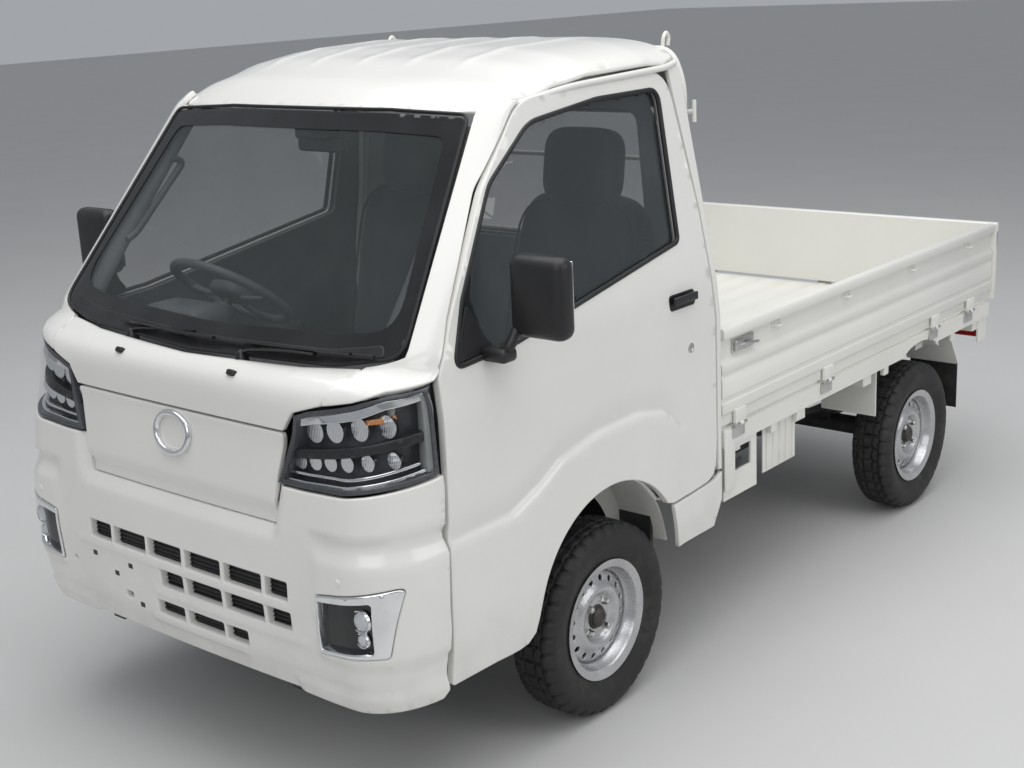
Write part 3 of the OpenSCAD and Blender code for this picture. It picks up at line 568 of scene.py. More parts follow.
def side(y, z):
    y, z = np.broadcast_arrays(np.asarray(y, float), np.asarray(z, float))
    x = half_width(z) - 4 * (np.clip(-1000 - y, 0, 480) / 480) ** 2
    above = z - FLARE_TOP(y)
    near = step01(y, -1500, -1400) * 0.5 + 0.5
    fade = 1 - step01(y, -560, -470)
    tuck = -9 * np.clip(1 - above / 55, 0, 1) * (above > 0) - 9 * (1 - step01(-above, 0, 14)) * (above <= 0)
    flare = 5 * step01(-above, 0, 16)
    back = step01(y, -1320, -1262) * 0.6 + 0.4
    x = x + (tuck * near + flare * back) * fade
    return np.stack([x, y, z], 1)


flare_marks = np.array([(y, FLARE_TOP(y) + d) for y in np.arange(-1460, -470, 14.0) for d in (-15, -7, 0, 7, 30, 55)])
print("points along the flare", len(flare_marks))

# %% Door and side outlines
DOOR = [(-1476, 341, 12), (-1457, 866, 400), (-1457, 1090, 60), (-1386, 1210, 200), (-1198, 1475, 200),
        (-1010, 1662, 170), (-640, 1690, 300), (-372, 1684, 90), (-332, 1300, 0), (-327, 640, 40), (-335, 528, 70),
        (-470, 519, 40), (-561, 519, 0)]
FRONT_AXLE_Y, REAR_AXLE_Y, ARCH_Z, ARCH_R = -844.5, 1055.5, 340, 318
ARCH = [(FRONT_AXLE_Y + ARCH_R * math.cos(a), ARCH_Z + ARCH_R * math.sin(a))
        for a in np.linspace(math.radians(36), math.radians(168), 40)]
ARCH_FOOT = [(-1170, 365), (-1200, 345), (-1232, 341)]
DOOR_LOOP = np.vstack([rounded(DOOR), ARCH, ARCH_FOOT])
WINDOW = rounded([(-1392, 1108, 14), (-1330, 1240, 80), (-1165, 1478, 120), (-985, 1600, 150), (-700, 1630, 300),
                  (-432, 1632, 30), (-462, 1240, 14), (-1180, 1122, 100)])


print("outline points: door", len(DOOR_LOOP), "window", len(WINDOW))

# %% Door skins
def offset_loop(loop, out, length=12):
    """A loop moved outwards, or inwards when out is negative."""
    loop = resample(np.array(loop, float), length)
    loop = loop[::-1] if area(loop) < 0 else loop
    return loop + turned(loop) * out


def make_door(name, body):
    return panel(name + "_skin", side, DOOR_LOOP, white_paint, 26, 3, 20, [offset_loop(WINDOW, 9)], flare_marks,
                 body=body)


doors = both_sides(make_door, "door", "door_left", "door_right")
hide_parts("door_left")
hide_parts("door_right")
print("door skin triangles", sum(len(p.vertices) - 2 for p in doors[0][0].data.polygons))

# %% [markdown]
# ## Small shapes
# Fittings need four makers: a block with rounded edges, a tube along a path, a turned form and a straight section.
# Curves could make the tubes, but plain meshes export as they are seen.
# %% Blocks and tubes
SHARP = 38


def rounded_block(name, low, high, radius, material, body="chassis", turn=None, steps=3):
    build = bmesh.new()
    bmesh.ops.create_cube(build, size=1.0)
    low, high = np.minimum(low, high), np.maximum(low, high)
    for v in build.verts:
        v.co = Vector([low[k] if v.co[k] < 0 else high[k] for k in range(3)])
    radius = min(radius, 0.49 * float(min(high - low)))
    bmesh.ops.bevel(build, geom=build.edges[:], offset=radius, segments=steps, profile=0.5, affect="EDGES")
    if turn is not None:
        centre, axis, angle = turn
        bmesh.ops.rotate(build, verts=build.verts, cent=centre, matrix=Matrix.Rotation(math.radians(angle), 3, axis))
    verts = [tuple(v.co) for v in build.verts]
    build.verts.index_update()
    faces = [[v.index for v in f.verts] for f in build.faces]
    build.free()
    return shell(name, verts, faces, material, body)


def shell(name, verts, faces, material, body="chassis"):
    """A mesh whose edges stay sharp where they turn by more than SHARP degrees."""
    piece = mesh_object(name, verts, faces, material, body)
    piece.data.set_sharp_from_angle(angle=math.radians(SHARP))
    return piece


def tube(name, points, radius, material, body="chassis", sides=12, closed=False, flat=1.0, square=1.0, start_up=None):
    points = np.array(points, float)
    n = len(points)
    verts, up = [], None
    for i, p in enumerate(points):
        a = points[i - 1] if (i or closed) else points[0]
        b = points[(i + 1) % n] if (i < n - 1 or closed) else points[-1]
        forward = (b - a) / max(np.linalg.norm(b - a), 1e-9)
        if up is None:
            up = np.cross(forward, (0.31, 0.17, 0.93)) if start_up is None else np.array(start_up, float)
        up = up - forward * (up @ forward)
        up /= np.linalg.norm(up)
        across = np.cross(forward, up)
        for k in range(sides):
            t = 2 * math.pi * k / sides
            c, d = (signed_power(w, square) for w in (math.cos(t), math.sin(t)))
            verts.append(p + radius * (c * up + d * across * flat))
    rings = n if closed else n - 1
    faces = [(i * sides + k, i * sides + j, (i + 1) % n * sides + j, (i + 1) % n * sides + k)
             for i in range(rings) for k in range(sides) for j in ((k + 1) % sides,)]
    if not closed:
        faces += [tuple(range(sides))[::-1], tuple((n - 1) * sides + k for k in range(sides))]
    return shell(name, verts, faces, material, body)


def bent(points, radius, steps=5):
    """A path with its corners rounded."""
    points = [np.array(p, float) for p in points]
    out = [points[0]]
    for a, b, c in zip(points, points[1:], points[2:]):
        reach = min(radius, 0.45 * np.linalg.norm(a - b), 0.45 * np.linalg.norm(c - b))
        s, e = b + (a - b) / np.linalg.norm(a - b) * reach, b + (c - b) / np.linalg.norm(c - b) * reach
        out += [(1 - t) ** 2 * s + 2 * t * (1 - t) * b + t * t * e for t in np.linspace(0, 1, steps + 1)]
    return out + [points[-1]]


print("block and tube makers ready, sharp above", SHARP, "degrees")

# %% Turned forms and sections
AXES = {"x": (1, 2, 0), "y": (2, 0, 1), "z": (0, 1, 2)}


def turned_form(name, centre, axis, profile, material, body="chassis", sides=48, sign=1):
    """A profile of (along, radius) points turned about an axis through centre."""
    a, b, c = AXES[axis]
    verts, faces = [], []
    for along, radius in profile:
        for k in range(sides):
            t = 2 * math.pi * k / sides
            p = [0.0, 0.0, 0.0]
            p[a], p[b], p[c] = radius * math.cos(t), radius * math.sin(t), along * sign
            verts.append(np.array(centre) + p)
    for i in range(len(profile) - 1):
        for k in range(sides):
            j = (k + 1) % sides
            quad = (i * sides + k, i * sides + j, (i + 1) * sides + j, (i + 1) * sides + k)
            faces.append(quad if sign < 0 else quad[::-1])
    for i in (0, len(profile) - 1):
        if profile[i][1] > 0.01:
            ring = tuple(i * sides + k for k in range(sides))
            faces.append(ring if (i == 0) == (sign < 0) else ring[::-1])
    return shell(name, verts, faces, material, body)


def section(name, outline, start, end, place, material, body="chassis", bevel=1.5, steps=1):
    """A straight bar whose outline (u, v) runs from start to end; place(u, v, w) gives x, y, z."""
    outline = np.array(outline, float)
    outline = outline[::-1] if area(outline) < 0 else outline
    out = turned(outline)
    rows = [(start, -bevel), (start + bevel * 0.3, -bevel * 0.3), (start + bevel, 0.0)] + \
        [(start + bevel + (end - start - 2 * bevel) * k / steps, 0.0) for k in range(1, steps)] + \
        [(end - bevel, 0.0), (end - bevel * 0.3, -bevel * 0.3), (end, -bevel)]
    verts, n = [], len(outline)
    for w, shrink in rows:
        verts += [place(p[0], p[1], w) for p in outline + out * shrink]
    faces = [(i * n + k, i * n + (k + 1) % n, (i + 1) * n + (k + 1) % n, (i + 1) * n + k)
             for i in range(len(rows) - 1) for k in range(n)]
    faces += [tuple(range(n))[::-1], tuple((len(rows) - 1) * n + k for k in range(n))]
    piece = shell(name, verts, faces, material, body)
    build = bmesh.new()
    build.from_mesh(piece.data)
    bmesh.ops.recalc_face_normals(build, faces=build.faces)
    build.to_mesh(piece.data)
    build.free()
    return piece


print("turned forms run along", list(AXES))

# %% [markdown]
# ## Relief
# Steps and ledges are added to a skin as a depth along its normal, so one panel can carry several press lines.
# A displacement texture would do the same on a dense grid, but a function can also be asked where the surface is.
# %% The bumper's relief
PRESS_BARS = ((545, -438, 428), (467, -111, 483), (386, -136, 252))


def relief(surface, depth):
    def lifted(u, v):
        u, v = np.broadcast_arrays(np.asarray(u, float), np.asarray(v, float))
        uv = np.stack([u, v], 1)
        return surface(u, v) + surface_normal(surface, uv) * depth(surface(u, v), u, v)[:, None]
    return lifted


def bumper_depth(p, q, z):
    x = np.abs(p[:, 0])
    chin = 7 * (1 - step01(z, 366, 374)) * step01(x, 400, 420)
    shoulder = -11 * (1 - step01(z, 745, 757)) * step01(z, 700, 728) * step01(x, 480, 520)
    fog = 8 * step01(x, 500, 522) * (1 - step01(z, 690, 705)) * step01(z, 440, 452)
    ledge = -20 * (1 - step01(x - (z - 738) * 0.14, 368, 398)) * step01(z, 708, 737)
    slats = 5 * sum(np.exp(-((z - c) / 9.0) ** 2) * step01(p[:, 0], a, a + 20) * (1 - step01(p[:, 0], b - 20, b))
                    for c, a, b in PRESS_BARS)
    return chin + shoulder + fog + ledge + slats


bumper_skin = relief(nose, bumper_depth)
print("bars pressed into the bumper", len(PRESS_BARS))

# %% [markdown]
# ## The bumper
# The bumper covers the whole lower nose, with slots for air, two openings for fog lamps and a ledge under the lid.
# Slots could be cut with booleans, but those leave long thin faces. Here they are holes in the outline, and extra
# points along each press line let the triangles follow it.
# %% Outline and slots
def cells(z_low, z_high, spans):
    return [front_loop([(a, z_low, 5), (b, z_low, 5), (b, z_high, 5), (a, z_high, 5)]) for a, b in spans]


slots = cells(562, 610, [(-367, -274), (-261, -125), (-113, 22), (37, 173), (187, 323), (337, 413)]) + \
    cells(487, 534, [(-70, 19), (34, 169), (183, 323), (336, 417)]) + \
    cells(405, 443, [(-99, 9), (24, 163), (174, 252)]) + \
    cells(417, 434, [(-240, -208)]) + cells(470, 482, [(-470, -457)])
FOG = [(512, 461, 8), (686, 471, 10), (712, 640, 12), (516, 608, 8)]
fog_left = front_loop(FOG)
fog_right = fog_left * (-1, 1)
top = [f_at(x, z) for x, z in [(0, 738), (366, 738), (381, 842), (470, 841), (600, 846)]]
top += [s_at(-1560, 862), s_at(-1473, 872)]
edge = [s_at(-1476, 700), s_at(-1484, 500), s_at(-1492, 346), s_at(-1510, 330)]
low = [f_at(600, 318), f_at(512, 318), f_at(400, 326), (0, 326)]
left_side = top[1:] + edge + low[:-1]
bumper_loop = np.array([(-q, z) for q, z in left_side[::-1]] + [top[0]] + left_side + [low[-1]])
print("bumper cells", len(slots), "outline points", len(bumper_loop))

# %% The bumper and what lies in its slots
marks = [f_at(s * x, z) for s in (-1, 1) for x in np.arange(380, 700, 16.0)
         for z in (366, 374, 445, 700, 712, 745, 757)]
marks += [f_at(x, c + d) for c, a, b in PRESS_BARS for x in np.arange(a, b, 18.0) for d in (-9, 0, 9)]
marks = np.array(marks)
bumper = panel("front_bumper_skin", bumper_skin, offset_loop(bumper_loop, 0), white_paint,
               20, 4, 22, slots + [fog_left, fog_right], marks)
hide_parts("front_bumper")
grille_loop = front_loop([(-470, 395, 10), (480, 395, 10), (480, 620, 10), (-470, 620, 10)])
panel("grille_mesh", nose, grille_loop, black_plastic, 30, 2, 4, lift=-24)
for k, z in enumerate(np.arange(402, 616, 11.0)):
    wire = nose(np.linspace(-q_at(460, z), q_at(470, z), 30), np.full(30, z)) + (0, 20, 0)
    tube(f"grille_wire_{k:02d}", wire, 1.8, black_plastic, sides=6)
for k, (x, z) in enumerate([(-359, 514), (-200, 512), (-268, 476), (-170, 409)]):
    y = nose(q_at([x], [z]), [z])[0, 1]
    rounded_block(f"plate_socket_{k}", (x - 9, y - 1.5, z - 7), (x + 9, y + 10, z + 7), 2, black_plastic)
print("bumper triangles", sum(len(p.vertices) - 2 for p in bumper.data.polygons))

# %% [markdown]
# ## The lid, the cowl, the pillars and the windscreen
# The lid sits in the bumper's ledge, so it has an outline and a relief of its own. The windscreen could be a flat
# pane, but its sides would leave the pillars; cut from the nose's function it follows them. A dark border and a
# round seal cover the pane's edge, as on a bonded screen.
# %% Lid, emblem and cowl
def lid_depth(p, q, z):
    return -9 - 19 * (1 - step01(z, 766, 800)) + 8 * step01(z, 930, 968)


lid_skin = relief(nose, lid_depth)
lid = panel("front_lid_skin", lid_skin, front_loop([(-404, 964, 12), (-378, 842, 0), (-362, 741, 10), (362, 741, 10),
                                                    (378, 842, 0), (404, 964, 12)]), white_paint, 20, 4, 14)
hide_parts("front_lid")
ring = np.array([(64 * math.cos(t), 904 + 50 * math.sin(t)) for t in full_turn(48)])
face = lid_skin(q_at(ring[:, 0], ring[:, 1]), ring[:, 1]) - (0, 5, 0)
tube("emblem_ring", face, 8.5, chrome, closed=True, sides=12)
panel("emblem_base", lid_skin, front_loop([(-52, 868, 14), (52, 868, 14), (40, 842, 10), (-40, 842, 10)]), white_paint,
      12, 2, 4, lift=3)
COWL = [(-436, 1017, 4), (-404, 970, 8), (404, 970, 8), (436, 1017, 4), (522, 1044, 4), (562, 1112, 6), (400, 1103, 90),
        (0, 1096, 0), (-400, 1103, 90), (-562, 1112, 6), (-522, 1044, 4)]
cowl = panel("cowl_skin", nose, front_loop(COWL), white_paint, 18, 3, 12)
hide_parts("cowl_panel")
print("lid and cowl", lid.name, cowl.name)

# %% Windscreen and pillars
SCREEN = [(-549, 1632, 30), (-652, 1140, 40), (-480, 1112, 300), (0, 1102, 0), (480, 1112, 300), (652, 1140, 40),
          (549, 1636, 30), (300, 1644, 0), (-300, 1644, 0)]
screen_loop = front_loop(SCREEN)
glass = panel("windscreen_pane", nose, offset_loop(screen_loop, -9), screen_glass, 26, 0.6, 1, lift=-3.4)
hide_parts("windshield")
inner = front_loop([(-508, 1588, 40), (-606, 1190, 60), (-450, 1172, 300), (0, 1160, 0), (450, 1172, 300),
                    (606, 1190, 60), (508, 1588, 40), (300, 1596, 0), (-300, 1596, 0)])
panel("windscreen_border", nose, offset_loop(screen_loop, -5), frit_black, 12, 0.6, 1, [inner], lift=-0.6)
seal = nose(*offset_loop(screen_loop, 1).T)
tube("windscreen_seal", seal, 4.5, seal_rubber, closed=True, sides=8)


def pillar_loop():
    loop = [f_at(526, 1044), f_at(600, 1056), s_at(-1560, 1080), s_at(-1472, 1093)]
    door_edge = offset_loop(DOOR_LOOP, 7)
    front_edge = sorted((tuple(p) for p in door_edge if p[1] > 1112 and p[0] < -990), key=lambda p: p[1])
    loop += [s_at(y, z) for y, z in front_edge]
    loop += [f_at(560, 1676), f_at(561, 1646), f_at(657, 1142), f_at(568, 1116)]
    return np.array(loop)


pillar = panel("pillar_left", nose, pillar_loop(), white_paint, 16, 3, 14)
mirrored(pillar, "pillar_right", "chassis")
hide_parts("cab_shell")
print("windscreen and pillars", glass.name, pillar.name)

# %% [markdown]
# ## Roof, quarters and the back wall
# The roof is a shallow dome with five pressed ribs. It could be a lofted surface, but a height over x and y is shorter,
# and marks along the ribs make the triangles follow them. The back wall is flat: only its outline and window matter.
# %% The roof
ROOF_RIBS = (-360, -180, 0, 180, 360)
ROOF = smooth_table([(-1200, 1560), (-1138, 1640), (-1038, 1708), (-900, 1752), (-760, 1772), (-500, 1780),
                     (-303, 1772), (-250, 1768)], 40)


def roof_skin(x, y):
    x, y = np.broadcast_arrays(np.asarray(x, float), np.asarray(y, float))
    a = np.clip(np.abs(x) / 613, 0, 1)
    g = 0.2 + 0.8 * step01(y, -1138, -900)
    ribs = 4.0 * sum(np.exp(-((x - c) / 16) ** 2) for c in ROOF_RIBS) * step01(y, -960, -880) * \
        (1 - step01(y, -400, -350))
    z = ROOF(y - 35 * (x / 543) ** 2) - 96 * (1 - np.sqrt(1 - np.minimum(a, 0.9995) ** 5)) * g + ribs
    return np.stack([x, y, z], 1)


half_roof = [(0, -1127), (300, -1124), (500, -1103), (548, -1086), (576, -1046), (598, -985), (606, -800), (608, -372),
             (596, -312), (560, -304), (0, -304)]
roof_loop = rounded([(x, y, 20) for x, y in half_roof] + [(-x, y, 20) for x, y in half_roof[1:-1][::-1]])
rib_marks = np.array([(c + d, y) for c in ROOF_RIBS for d in (-22, -11, 0, 11, 22)
                      for y in np.arange(-955, -340, 24.0)])
roof = panel("roof_skin", roof_skin, roof_loop, white_paint, 26, 4, 10, extra=rib_marks)
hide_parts("roof")
print("roof triangles", sum(len(p.vertices) - 2 for p in roof.data.polygons))

# %% [markdown]
# ## Door frames
# With a door open, the body's own frame shows: a hinge pillar, hinge plates, a flange round the opening and a rubber
# seal on it. A solid with the opening cut out would do, but two tubes along the door's outline look the same. They
# stop short of the hinges, where the swinging door needs the room.
# %% Door frames and drip rails
FRAME_END_Y = -1340


def door_frame(name, body):
    pieces = []
    for part, material, out, inward, thick in (("seal", seal_rubber, -16, 40, 7), ("flange", white_paint, -8, 52, 9)):
        loop = offset_loop(DOOR_LOOP, out, 24)
        keep = loop[:, 0] > FRAME_END_Y
        first = int(np.argmax(keep & ~np.roll(keep, 1)))
        loop = np.roll(loop, -first, axis=0)[:int(keep.sum())]
        pieces.append(tube(f"{name}_{part}", side(loop[:, 0], loop[:, 1]) - (inward, 0, 0), thick, material, body, 8))
    pieces.append(rounded_block(name + "_hinge_pillar", (602, -1532, 350), (643, -1397, 1064), 8, white_paint, body))
    for k, z in enumerate((560, 980)):
        pieces.append(rounded_block(f"{name}_hinge_{k}", (640, -1470, z - 28), (652, -1420, z + 28), 4, white_paint,
                                    body))
    return pieces


frames = both_sides(door_frame, "door_frame")
for s, tag in SIDES:
    rail = np.array([(s * x, y) for x, y in [(552, -1098), (577, -1052), (599, -985), (607, -800), (608, -372),
                                             (600, -316)]])
    path = roof_skin(rail[:, 0], rail[:, 1]) + (s * 3, 0, -9)
    tube("drip_rail_" + tag, bent(path, 60), 9, white_paint, sides=10)
print("door frames made of", sum(len(p) for p in frames), "pieces")

# %% Back wall, quarters and sill corners
BACK_Y = -303.0


def flat_back(x, z):
    x, z = np.broadcast_arrays(np.asarray(x, float), np.asarray(z, float))
    return np.stack([x, np.full(x.shape, BACK_Y), z], 1)


back = rounded([(-722, 452, 20), (722, 452, 20), (726, 1112, 60), (606, 1690, 50), (500, 1757, 60), (-500, 1757, 60),
                (-606, 1690, 50), (-726, 1112, 60)])
rear_hole = rounded([(-505, 1185, 40), (505, 1185, 40), (475, 1565, 40), (-475, 1565, 40)])
panel("back_wall", flat_back, offset_loop(back, -7), white_paint, 60, 8, 20, [rear_hole], flip=True)
back_pane = panel("rear_pane", flat_back, offset_loop(rear_hole, -2), screen_glass, 90, 1, 4, flip=True,
                  lift=-6)
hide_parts("rear_window")
tube("rear_pane_seal", flat_back(*rear_hole.T) + (0, -1, 0), 6, seal_rubber, closed=True, sides=8)
quarter = [(-319, 545), (-303, 545), (-303, 1690), (-360, 1694), (-325, 1300), (-320, 640)]
low_quarter = [(-339, 376), (-303, 452), (-303, 536), (-330, 521), (-470, 511), (-557, 511), (-527, 376)]
for tag, loop in (("quarter", quarter), ("sill_corner", low_quarter)):
    left = panel(tag + "_left", side, np.array(loop, float), white_paint, 22, 2, 12)
    mirrored(left, tag + "_right", "chassis")
print("back window at y", BACK_Y)

# %% [markdown]
# ## Headlamps
# Each lamp is a deep dark bowl behind a clear cover: chrome strips along its edges, two rows of small reflectors,
# a dark bar between them and an amber inset. All of it is cut from the nose's own function, at several depths.
# %% Headlamps
LAMP = np.array([f_at(385, 846), f_at(437, 1013), f_at(520, 1036), f_at(600, 1052), s_at(-1560, 1076),
                 s_at(-1480, 1088), s_at(-1480, 875), s_at(-1560, 866), f_at(600, 850), f_at(470, 845)])
CHROME_LINES = [([f_at(440, 994), f_at(520, 1012), f_at(600, 1028), s_at(-1570, 1050), s_at(-1500, 1064)], 20, -12),
                ([f_at(402, 858), f_at(470, 858), f_at(600, 866), s_at(-1575, 882), s_at(-1510, 892)], 9, -14),
                ([f_at(408, 876), f_at(470, 877), f_at(600, 884), s_at(-1580, 900), s_at(-1520, 908)], 7, -22)]
BAR = [f_at(412, 918), f_at(520, 932), f_at(600, 946), s_at(-1570, 962), s_at(-1500, 972)]
INSET = [f_at(612, 1008), s_at(-1608, 1012), s_at(-1560, 1022)]
END = np.array([s_at(-1512, 886), s_at(-1512, 1064), s_at(-1486, 1068), s_at(-1486, 884)])
SPOTS = [(x, 972 + (x - 470) * 0.14, 27) for x in (480, 542, 604, 660)] + \
        [(x, 898 + (x - 430) * 0.10, 20) for x in (436, 484, 532, 580, 628, 676)]


print("reflectors in each lamp", len(SPOTS))

# %% Building the headlamps
def strip(points, width):
    """A narrow closed loop along a line of (q, z) points."""
    line = np.array(points, float)
    step = np.gradient(line, axis=0)
    normal = np.stack([-step[:, 1], step[:, 0]], 1) / np.linalg.norm(step, axis=1)[:, None]
    return np.vstack([line + normal * width / 2, (line - normal * width / 2)[::-1]])


def lamp_pieces(name, body):
    made = [panel(name + "_bowl", nose, LAMP, lamp_house, 24, 2, 4, lift=-62),
            panel(name + "_rim", nose, offset_loop(LAMP, -2), lamp_house, 12, 2, 60, [offset_loop(LAMP, -13)],
                  lift=-4),
            panel(name + "_cover", nose, offset_loop(LAMP, -3), lamp_cover, 24, 2, 5, lift=-1)]
    for k, (line, width, lift) in enumerate(CHROME_LINES):
        made.append(panel(f"{name}_chrome_{k}", nose, strip(line, width), chrome, 12, 1.5, 10, lift=lift))
    for part, outline, material, roll, hem, lift in (("bar", strip(BAR, 22), trim_plastic, 3, 30, -16),
                                                     ("inset", strip(INSET, 14), amber, 2, 14, -26),
                                                     ("end", END, cabin_grey, 3, 30, -10)):
        made.append(panel(f"{name}_{part}", nose, outline, material, 12, roll, hem, lift=lift))
    for k, (x, z, r) in enumerate(SPOTS):
        y = float(nose(q_at([x], [z]), [z])[0, 1])
        cup = [(0, r), (3, r), (5, r - 1.5), (14, r * 0.86), (24, r * 0.5), (27, 0.01)]
        made.append(turned_form(f"{name}_cup_{k}", (x, y + 30, z), "y", cup, reflector, body, 24))
        bulb = [(0, 0.01), (2, 5), (8, 7), (16, 6), (22, 5)]
        made.append(turned_form(f"{name}_bulb_{k}", (x, y + 33, z), "y", bulb, lamp_clear, body, 14))
    return made


lamps_made = both_sides(lamp_pieces, "headlamp")
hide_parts("headlamps")
print("lamp pieces", len(lamps_made[0]))

# %% [markdown]
# ## Fog lamps, washers, wipers
# Small fittings are turned forms, blocks and tubes, placed by asking the skin where it is. They could be placed by
# hand, but then any change to the nose would leave them floating or sunk.
# %% Fog lamps
def fog_pieces(name, body):
    glass_loop = front_loop([(521, 591, 6), (522, 472, 6), (660, 485, 8), (661, 608, 8)])
    made = [panel(name + "_bezel", bumper_skin, offset_loop(fog_left, -2), chrome, 10, 3, 20, [glass_loop],
                  lift=2),
            panel(name + "_pane", nose, offset_loop(glass_loop, 3), frit_black, 14, 1, 6, lift=-8)]
    for k, (x, z, r) in enumerate([(634, 560, 25), (634, 513, 16)]):
        y = float(nose(q_at([x], [z]), [z])[0, 1]) + 8
        eye = [(-9, 0.01), (-8, r * 0.5), (-5, r * 0.8), (0, r * 0.94)]
        collar = [(0, r * 0.94), (-4, r), (-5, r + 3), (2, r + 5)]
        made.append(turned_form(f"{name}_eye_{k}", (x, y, z), "y", eye, lamp_clear, body, 28))
        made.append(turned_form(f"{name}_collar_{k}", (x, y, z), "y", collar, chrome, body, 28))
    y = float(bumper_skin(q_at([590], [652]), [652])[0, 1])
    button = [(-3, 0.01), (-3, 8), (-1, 10), (4, 11)]
    made.append(turned_form(name + "_button", (590, y + 1, 652), "y", button, white_paint, body, 24))
    return made


fogs = both_sides(fog_pieces, "fog_lamp")
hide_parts("fog_lamps")
print("fog lamp pieces", len(fogs[0]))

# %% Washers and wipers
for s, tag in SIDES:
    place = nose(q_at([s * 219], [1077]), [1077])[0]
    rounded_block("washer_" + tag, place - (13, 10, 6), place + (13, 10, 9), 5, black_plastic,
                  turn=(Vector(place), "X", -35))
for k, (px, py, pz) in enumerate([(-258, -1570, 1088), (188, -1578, 1088)]):
    base = np.array([px, py + 6, pz])
    turned_form(f"wiper_pivot_{k}", base, "z", [(-4, 19), (12, 17), (24, 13), (30, 6), (31, 0.01)], trim_plastic,
                sides=24)
    mid, tip = base + (150, 4, 46), base + (235, 22, 44)
    tube(f"wiper_arm_{k}", bent([base + (0, 0, 22), base + (30, -2, 34), mid, tip], 30), 7, trim_plastic, sides=10,
         flat=0.6)
    reach_x = np.linspace(-60, 400, 24) + px
    zz = 1122 + 8 * np.abs(reach_x / 500) ** 2
    blade = nose(q_at(reach_x, zz), zz) + np.array((0, -10, 6))
    tube(f"wiper_blade_{k}", blade, 5, seal_rubber, sides=8)
    tube(f"wiper_spine_{k}", blade[3:-3] + (0, -7, 6), 6.5, trim_plastic, sides=8, flat=0.6)
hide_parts("wipers")
cowl_strip = front_loop([(-606, 1136, 20), (-470, 1110, 200), (0, 1102, 0), (470, 1110, 200), (606, 1136, 20),
                         (590, 1160, 20), (450, 1140, 300), (0, 1130, 0), (-450, 1140, 300), (-590, 1160, 20)])
panel("cowl_strip", nose, cowl_strip, black_plastic, 18, 2, 3, lift=1.5)
print("wiper blades", 2)

# %% [markdown]
# ## Door glass, mirror and handle
# Everything on a door rides on the door's body. It is made on the left and mirrored, since a copy can't drift from
# its twin. Pane and sail are cut from the side's function and keep the door's curve; the mirror is a rounded block.
# %% Door fittings
def door_pieces(name, body):
    made = [panel(name + "_glass", side, offset_loop(WINDOW, 6), door_pane, 60, 1, 3, body=body, lift=-13),
            panel(name + "_sail", side, rounded([(-1395, 1108, 8), (-1250, 1120, 10), (-1278, 1150, 20),
                                                 (-1322, 1236, 10)]), black_plastic, 16, 2, 12, body=body,
                  lift=-3)]
    rim = side(*offset_loop(WINDOW, 7).T)
    made.append(tube(name + "_window_rubber", rim - (3, 0, 0), 7, seal_rubber, body, 10, True))
    y0, z0 = -485, 1080
    made += [panel(name + "_handle_cup", side, rounded([(y0 - 62, z0 - 22, 14), (y0 + 62, z0 - 22, 14),
                                                        (y0 + 62, z0 + 22, 14), (y0 - 62, z0 + 22, 14)]), trim_plastic,
                   14, 2, 6, body=body, lift=1.5),
             rounded_block(name + "_handle", (737, y0 - 56, z0 - 6), (746, y0 + 56, z0 + 17), 4, black_plastic, body),
             turned_form(name + "_lock", (735, -457, 941), "x", [(0, 14), (3, 14), (4, 12), (4, 9), (2, 8), (2, 0.01)],
                         plated, body, 28)]
    return made


door_left, door_right = both_sides(door_pieces, "door", "door_left", "door_right")
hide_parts("door_glass_left")
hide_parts("door_glass_right")
print("fittings on each door", len(door_left))

# %% Door cards and mirrors
CARD_DEPTH = 44.0


def inner_face(y, z):
    return side(y, z) - (CARD_DEPTH, 0, 0)


card_loop = offset_loop(DOOR_LOOP, -16, 16)
card = panel("door_left_card", inner_face, card_loop, cabin_plastic, 40, 3, 12, [offset_loop(WINDOW, 14)],
             flip=True, body="door_left")
rest = rounded_block("door_left_rest", (645, -1080, 860), (690, -640, 905), 14, cabin_plastic, "door_left")
for piece in (card, rest):
    mirrored(piece, piece.name.replace("_left", "_right"), "door_right")


def mirror_pieces(name, body):
    return [rounded_block(name + "_head", (766, -1262, 1151), (925, -1199, 1344), 27, black_plastic, body, steps=5),
            rounded_block(name + "_glass", (780, -1200, 1166), (911, -1195.5, 1329), 2, chrome, body),
            rounded_block(name + "_base", (712, -1306, 1096), (788, -1252, 1130), 12, black_plastic, body),
            tube(name + "_arm", bent([(760, -1280, 1118), (780, -1276, 1130), (783, -1250, 1168)], 16), 13,
                 black_plastic, body, 14)]


left_mirror, right_mirror = both_sides(mirror_pieces, "mirror", "door_left", "door_right")
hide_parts("mirror_left")
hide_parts("mirror_right")
print("mirror pieces", len(left_mirror))

